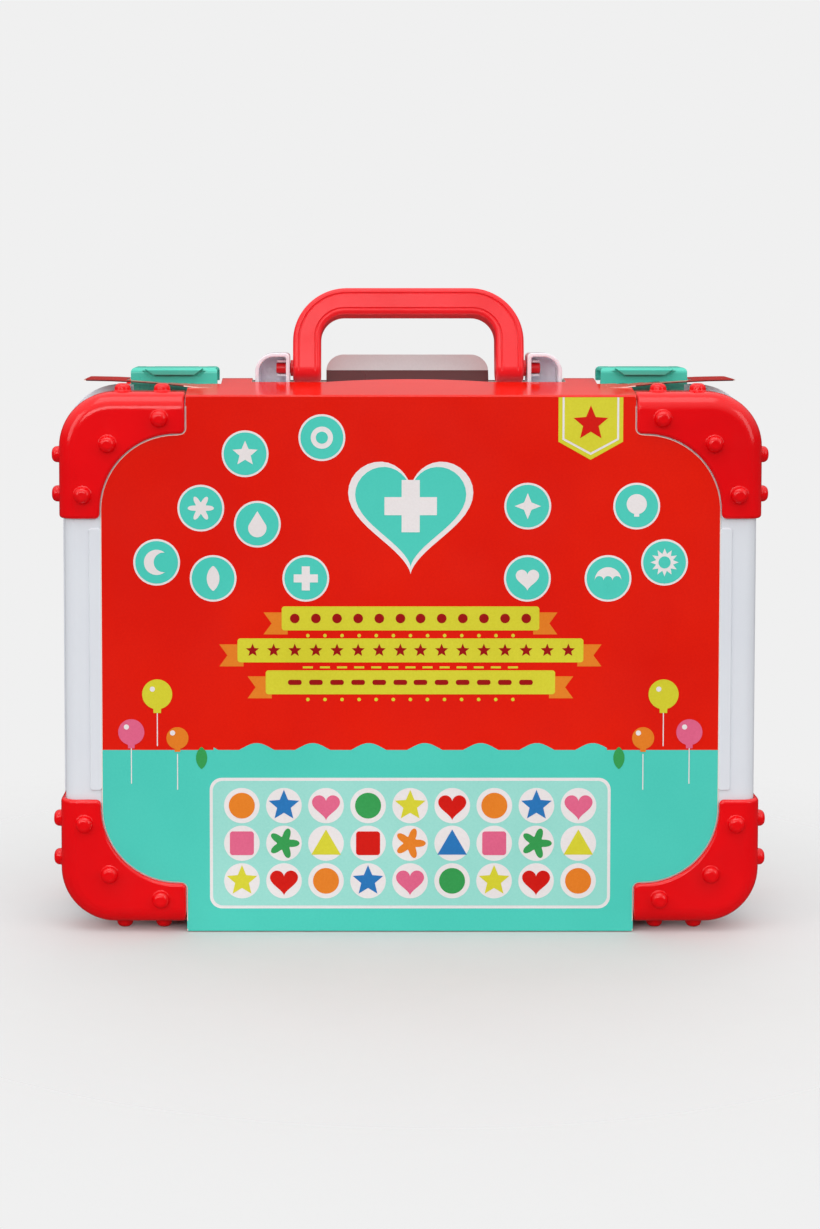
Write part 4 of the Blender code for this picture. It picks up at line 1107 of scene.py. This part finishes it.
def bow_slot(sleeve):
    """Lifts the slot's near lip into a low bow, in edit mode."""
    stations = range(-SLOT_BOWS, SLOT_BOWS + 1)
    for i in stations:
        choose(sleeve, "FACE", lambda f: all(v.co.z > CARD_FOLD + MM and v.co.y < 0 for v in f.verts))
        bpy.ops.mesh.bisect(plane_co=(i * SLOT_BOW_STEP, 0, 0), plane_no=(1, 0, 0))
    for i in stations:
        place = Vector((i * SLOT_BOW_STEP, -SLOT_DEPTH))
        choose(sleeve, "VERT", lambda v: (v.co.xy - place).length < TINY)
        rise = SLOT_BOW * (1 - (i / SLOT_BOWS) ** 2)
        bpy.ops.transform.translate(value=(0, 0, rise))


def coats():
    """The sleeve's coats of print and board, and one band of painted shade on the tongue's foot, later ones
    over earlier: material and the faces that it takes.
    """

    def back(face, least=0.9):
        return face.normal.y < -least and face.calc_center_median().y < -CARD_FACE + 2 * CARD

    def height(face):
        return face.calc_center_median().z

    def over_fold(face):
        level = face.normal.z > -0.1 and abs(face.normal.x) < 0.1
        return back(face, 0.1) and level and height(face) > CARD_FOLD - 2 * FOLD_RADIUS

    def inside(face):
        return face.normal.y > 0.7 and face.calc_center_median().y < -CARD_FACE + 2 * CARD

    # Painted shade: the camera-facing foot of the tongue, between these heights, takes the dark colour
    def painted_shade_band(face):
        return face.normal.y < -0.8 and CARD_FOLD + TONGUE_SHADE_CLEAR < height(face) < TONGUE_SHADE_TOP

    return [
        (CARD_RED, back),
        (CARD_RED, over_fold),
        (CARD_RED, lambda f: f.normal.z > 0.5 and height(f) > SHELL_HIGH and f.calc_area() > MM**2),
        (CARD_BOARD, inside),
        (CARD_BOARD, lambda f: height(f) > CARD_CREST and abs(f.normal.y) > 0.8),
        (CARD_PAINTED_SHADE, painted_shade_band),
        (CARD_TURQUOISE, lambda f: back(f) and height(f) < BAND_HIGH),
    ]


def make_sleeve():
    sleeve = sleeve_card()
    for material in (CARD_CORE, CARD_RED, CARD_TURQUOISE, CARD_BOARD, CARD_PAINTED_SHADE):
        sleeve.data.materials.append(material)
    with shaping(sleeve):
        bpy.ops.mesh.select_all(action="SELECT")
        bpy.ops.mesh.bisect(plane_co=(0, 0, BAND_HIGH), plane_no=(0, 0, 1))
        # Splits the tongue's face where the band of painted shade at its foot ends
        choose(sleeve, "FACE", lambda f: f.normal.y < -0.8 and f.calc_center_median().z > CARD_CREST)
        bpy.ops.mesh.bisect(plane_co=(0, 0, TONGUE_SHADE_TOP), plane_no=(0, 0, 1))
        bow_slot(sleeve)
        for material, test in coats():
            choose(sleeve, "FACE", test)
            sleeve.active_material_index = sleeve.data.materials.find(material.name)
            bpy.ops.object.material_slot_assign()
    fitted(sleeve, None, "rear_half", "printed_card", "card_sleeve")


# Print on the sleeve


def disc(x, z, radius, steps=48):
    return arc((x, z), radius, 0, 360 - 360 / steps, steps - 1)


def heart(x, z, size):
    """A heart about two sizes wide, its dip at the top."""
    points = []
    for i in range(64):
        t = 2 * math.pi * i / 64
        u = math.sin(t) ** 3
        v = (13 * math.cos(t) - 5 * math.cos(2 * t) - 2 * math.cos(3 * t) - math.cos(4 * t)) / 16
        points.append((x + size * u, z + size * v))
    return points


def spokes(x, z, ends):
    """An outline through the ends of spokes, each given as (length, angle in radians)."""
    return [(x + r * math.cos(a), z + r * math.sin(a)) for r, a in ends]


def star(x, z, radius, points=5, inner=0.45):
    turns = [math.radians(90 + 180 * i / points) for i in range(2 * points)]
    return spokes(x, z, [(radius * (inner if i % 2 else 1), a) for i, a in enumerate(turns)])


def petals(x, z, radius, count, depth=0.28):
    turns = [2 * math.pi * i / 96 for i in range(96)]
    ends = [(radius * (1 - depth + depth * math.cos(count * a)), a) for a in turns]
    return spokes(x, z, ends)


def cross(x, z, reach, half):
    corners = [(-half, reach), (half, reach), (half, half), (reach, half), (reach, -half), (half, -half)]
    corners += [(-u, -v) for u, v in corners]
    return [(x + u, z + v) for u, v in corners]


def moon(x, z, radius):
    outer = arc((x, z), radius, 50, 310, 30)
    inner = arc((x + radius * 0.55, z), radius * 0.78, 280, 80, 24)
    return outer + inner


def drop(x, z, radius):
    return arc((x, z - radius * 0.3), radius * 0.7, 160, 380, 26) + [(x, z + radius)]


def leaf(x, z, radius):
    half = radius * 1.25
    right = arc((x - half * 0.7, z), half * 1.15, -50, 50, 16)
    left = arc((x + half * 0.7, z), half * 1.15, 130, 230, 16)
    return right + left


def balloon(x, z, radius):
    knot, low = radius * 0.25, z - radius * 1.25
    return arc((x, z), radius, -75, 255, 36) + [(x - knot, low), (x + knot, low)]


def umbrella(x, z, radius):
    top = arc((x, z), radius, 0, 180, 24)
    scallops = []
    for i in range(3):
        middle = x - radius + radius * (2 * i + 1) / 3
        scallops += arc((middle, z), radius / 3, 180, 0, 8)[1:]
    return top + scallops[:-1]


def bar(x_low, x_high, z_low, z_high, radius=0.0):
    """A rectangle, its corners rounded if asked."""
    if not radius:
        return [(x_low, z_low), (x_high, z_low), (x_high, z_high), (x_low, z_high)]
    left, right, low, high = x_low + radius, x_high - radius, z_low + radius, z_high - radius
    corners = ((left, low, 180), (right, low, 270), (right, high, 0), (left, high, 90))
    return [p for x, z, start in corners for p in arc((x, z), radius, start, start + 90, 8)]


def motifs():
    """Every printed shape, as (ink, layer, outline in millimetres)."""
    shapes = []

    def ink(colour, layer, outline):
        shapes.append((colour, layer, outline))

    wave = [(-98, 84), (98, 84)] + [(98 - 2 * i, 93 + 2.5 * math.sin(i * 0.45)) for i in range(99)]
    ink("turquoise", 0, wave)
    ink("white", 0, heart(0, 213, 31))
    ink("turquoise", 1, heart(0, 213, 27.5))
    ink("white", 2, cross(0, 214, 13, 4.5))
    icons = [
        (-82, 240, lambda x, z: [star(x, z, 6.5)]),
        (-104, 213, lambda x, z: [petals(x, z, 6.5, 6)]),
        (-76, 205, lambda x, z: [drop(x, z, 6.5)]),
        (-126, 186, lambda x, z: [moon(x, z, 6.3)]),
        (-98, 178, lambda x, z: [leaf(x, z, 5.6)]),
        (-52, 178, lambda x, z: [cross(x, z, 6, 2)]),
        (58, 178, lambda x, z: [heart(x, z, 5.8)]),
        (98, 178, lambda x, z: [umbrella(x, z - 1, 6.6), bar(x - 0.5, x + 0.5, z - 7, z)]),
        (126, 186, lambda x, z: [star(x, z, 7, 12, 0.62), disc(x, z, 3)]),
        (112, 214, lambda x, z: [balloon(x, z + 1, 5)]),
        (58, 214, lambda x, z: [star(x, z, 6.5, 4, 0.4)]),
        (-44, 248, lambda x, z: [disc(x, z, 5.5), disc(x, z, 3)]),
    ]
    for x, z, draw in icons:
        ink("white", 0, disc(x, z, ICON_RADIUS + ICON_RING))
        ink("turquoise", 1, disc(x, z, ICON_RADIUS))
        for k, outline in enumerate(draw(x, z)):
            ink("white" if k == 0 else "turquoise", 2 + k, outline)
    for row, (half, z) in enumerate(((64, 158), (86, 142), (72, 126))):
        tail = half + 9
        for side in (-1, 1):
            fold = [(side * (half - 3), z - 8), (side * tail, z - 8), (side * (tail - 4), z - 2.5)]
            ink("orange", 0, fold + [(side * tail, z + 3), (side * (half - 3), z + 3)])
        ink("yellow", 1, bar(-half, half, z - 6, z + 6, 1.5))
        for i in range(int(half / 6)):
            for side in (-1, 1):
                x = side * (5 + i * 10.5)
                if abs(x) > half - 6:
                    continue
                dash = bar(x - 3.4, x + 3.4, z - 1.3, z + 1.3, 1.2)
                ink("maroon", 2, (disc(x, z, 2.4, 20), star(x, z, 3.4), dash)[row])
        for i in range(13):
            x = (i - 6) * 8.5
            mark = disc(x, z - 8.6, 0.9, 14) if row != 1 else bar(x - 2.5, x + 2.5, z - 9, z - 8)
            ink("yellow", 0, mark)
    ink("yellow", 1, [(73, 268), (105, 268), (105, 246), (89, 237), (73, 246)])
    ink("white", 2, [(75, 268), (103, 268), (103, 247), (89, 239.4), (75, 247)])
    ink("yellow", 3, [(76, 268), (102, 268), (102, 247.6), (89, 240.6), (76, 247.6)])
    ink("red", 4, star(89, 255, 9))
    ink("white", 0, bar(-100, 100, 12, 78, 6))
    ink("sky", 1, bar(-98.5, 98.5, 13.5, 76.5, 5))
    colours = ["orange", "blue", "pink", "green", "yellow", "red"]
    forms = [
        lambda x, z: disc(x, z, 6.5),
        lambda x, z: bar(x - 6, x + 6, z - 6, z + 6, 1.5),
        lambda x, z: star(x, z, 8),
        lambda x, z: petals(x, z, 7.8, 5),
        lambda x, z: heart(x, z, 7),
        lambda x, z: star(x, z - 1.5, 8.5, 3, 0.5),
    ]
    for row, z in enumerate((64, 45, 26)):
        for i in range(9):
            x = -84 + 21 * i
            ink("white", 2, disc(x, z, 8.9, 40))
            form = forms[(i * 2 + row) % 6]
            ink(colours[(i + 2 * row) % 6], 3, form(x, z))
    for side in (-1, 1):
        for k, (x, z, colour) in enumerate(((126, 120, "yellow"), (139, 101, "pink"), (116, 98, "orange"))):
            ink("white", 1, bar(side * x - 0.25, side * x + 0.25, z - 26, z - 8))
            ink(colour, 2, balloon(side * x, z, 7.5 - k))
            ink("white", 3, disc(side * x - 2.4, z + 2.6, 1.3, 16))
        ink("green", 1, leaf(side * 104, 88, 5))
    return shapes


def make_print():
    """The sleeve's print: one thin piece for each ink, its later layers a little prouder."""
    by_ink = {}
    for colour, layer, outline in motifs():
        scaled = [(x * MM, z * MM) for x, z in outline]
        offset = -(CARD_FACE + PRINT_STEP * layer)
        shape = plate("motif", scaled, 1.6 * PRINT_STEP, "XZ", offset)
        by_ink.setdefault(colour, []).append(shape)
    for colour, shapes in by_ink.items():
        piece = joined(f"sleeve_print_{colour}", shapes)
        fitted(piece, card(f"ink_{colour}", *INKS[colour]), "rear_half", "printed_card")


# Floor, light and camera


def fade(nodes, near, far):
    """One inside this distance of the case's foot and nothing past the further one."""
    reach = nodes.add("ShaderNodeVectorMath", {0: nodes.place()}, operation="LENGTH")
    return nodes.spread(reach.outputs["Value"], near, far, 1, 0)


def make_floor():
    """White paper whose far edge melts into the backdrop."""
    circle = bpy.ops.mesh.primitive_circle_add
    floor = added("floor", circle, vertices=96, radius=FLOOR_RADIUS, fill_type="NGON")
    material = plastic("floor_paper", "D2D2D2", "D1D1D1", 0.9, 0.3, 0.0, Specular_IOR_Level=0.1)
    nodes = Nodes(material.node_tree)
    shader = material.node_tree.nodes["Principled BSDF"]
    nodes.give(shader.inputs["Alpha"], fade(nodes, FLOOR_CLEAR, FLOOR_RADIUS - 0.02))
    floor.data.materials.append(material)
    floor.visible_glossy = False


def soft_lamp(name, place, target, size, watts):
    lamp = bpy.data.lights.new(name, "AREA")
    lamp.shape = "RECTANGLE"
    lamp.size, lamp.size_y = size
    lamp.energy = watts
    holder = linked(bpy.data.objects.new(name, lamp))
    holder.location = place
    holder.rotation_euler = (Vector(target) - Vector(place)).to_track_quat("-Z", "Y").to_euler()
    return holder


def make_light():
    """A pale backdrop for the camera; for everything else, light from above that dims to the horizon."""
    bpy.context.scene.view_settings.view_transform = "Standard"
    world = bpy.data.worlds.new("studio")
    world.use_nodes = True
    nodes = Nodes(world.node_tree)
    background = world.node_tree.nodes["Background"]
    path = nodes.add("ShaderNodeLightPath").outputs
    towards = nodes.add("ShaderNodeTexCoord").outputs["Generated"]
    height = nodes.add("ShaderNodeSeparateXYZ", {0: towards}).outputs["Z"]
    above = nodes.spread(height, 0.0, 0.6, 0.4, 1.0)
    mirrored_above = nodes.spread(height, 0.1, 0.75, 0.05, 1.0)
    unseen = nodes.blend(path["Is Glossy Ray"], above, mirrored_above)
    light = nodes.blend(path["Is Camera Ray"], unseen, linear(BACKDROP))
    nodes.give(background.inputs["Color"], light)
    bpy.context.scene.world = world
    lamps = {name: soft_lamp(name, *values) for name, values in LAMPS.items()}
    lamps["behind"].visible_glossy = False


def make_camera():
    data = bpy.data.cameras.new("photo_camera")
    data.sensor_width = 36
    data.lens = CAMERA_LENS
    data.shift_x, data.shift_y = CAMERA_SHIFT
    camera = linked(bpy.data.objects.new("photo_camera", data))
    camera.location = CAMERA_PLACE
    camera.rotation_euler = (CAMERA_TILT, 0, 0)
    bpy.context.scene.camera = camera


make_camera()
make_light()
make_floor()
make_rear_shell()
make_front_shell()
make_pins()
make_guards()
make_handle()
make_brackets()
make_latches()
make_sleeve()
make_print()

bpy.context.view_layer.update()
bpy.context.view_layer.update()
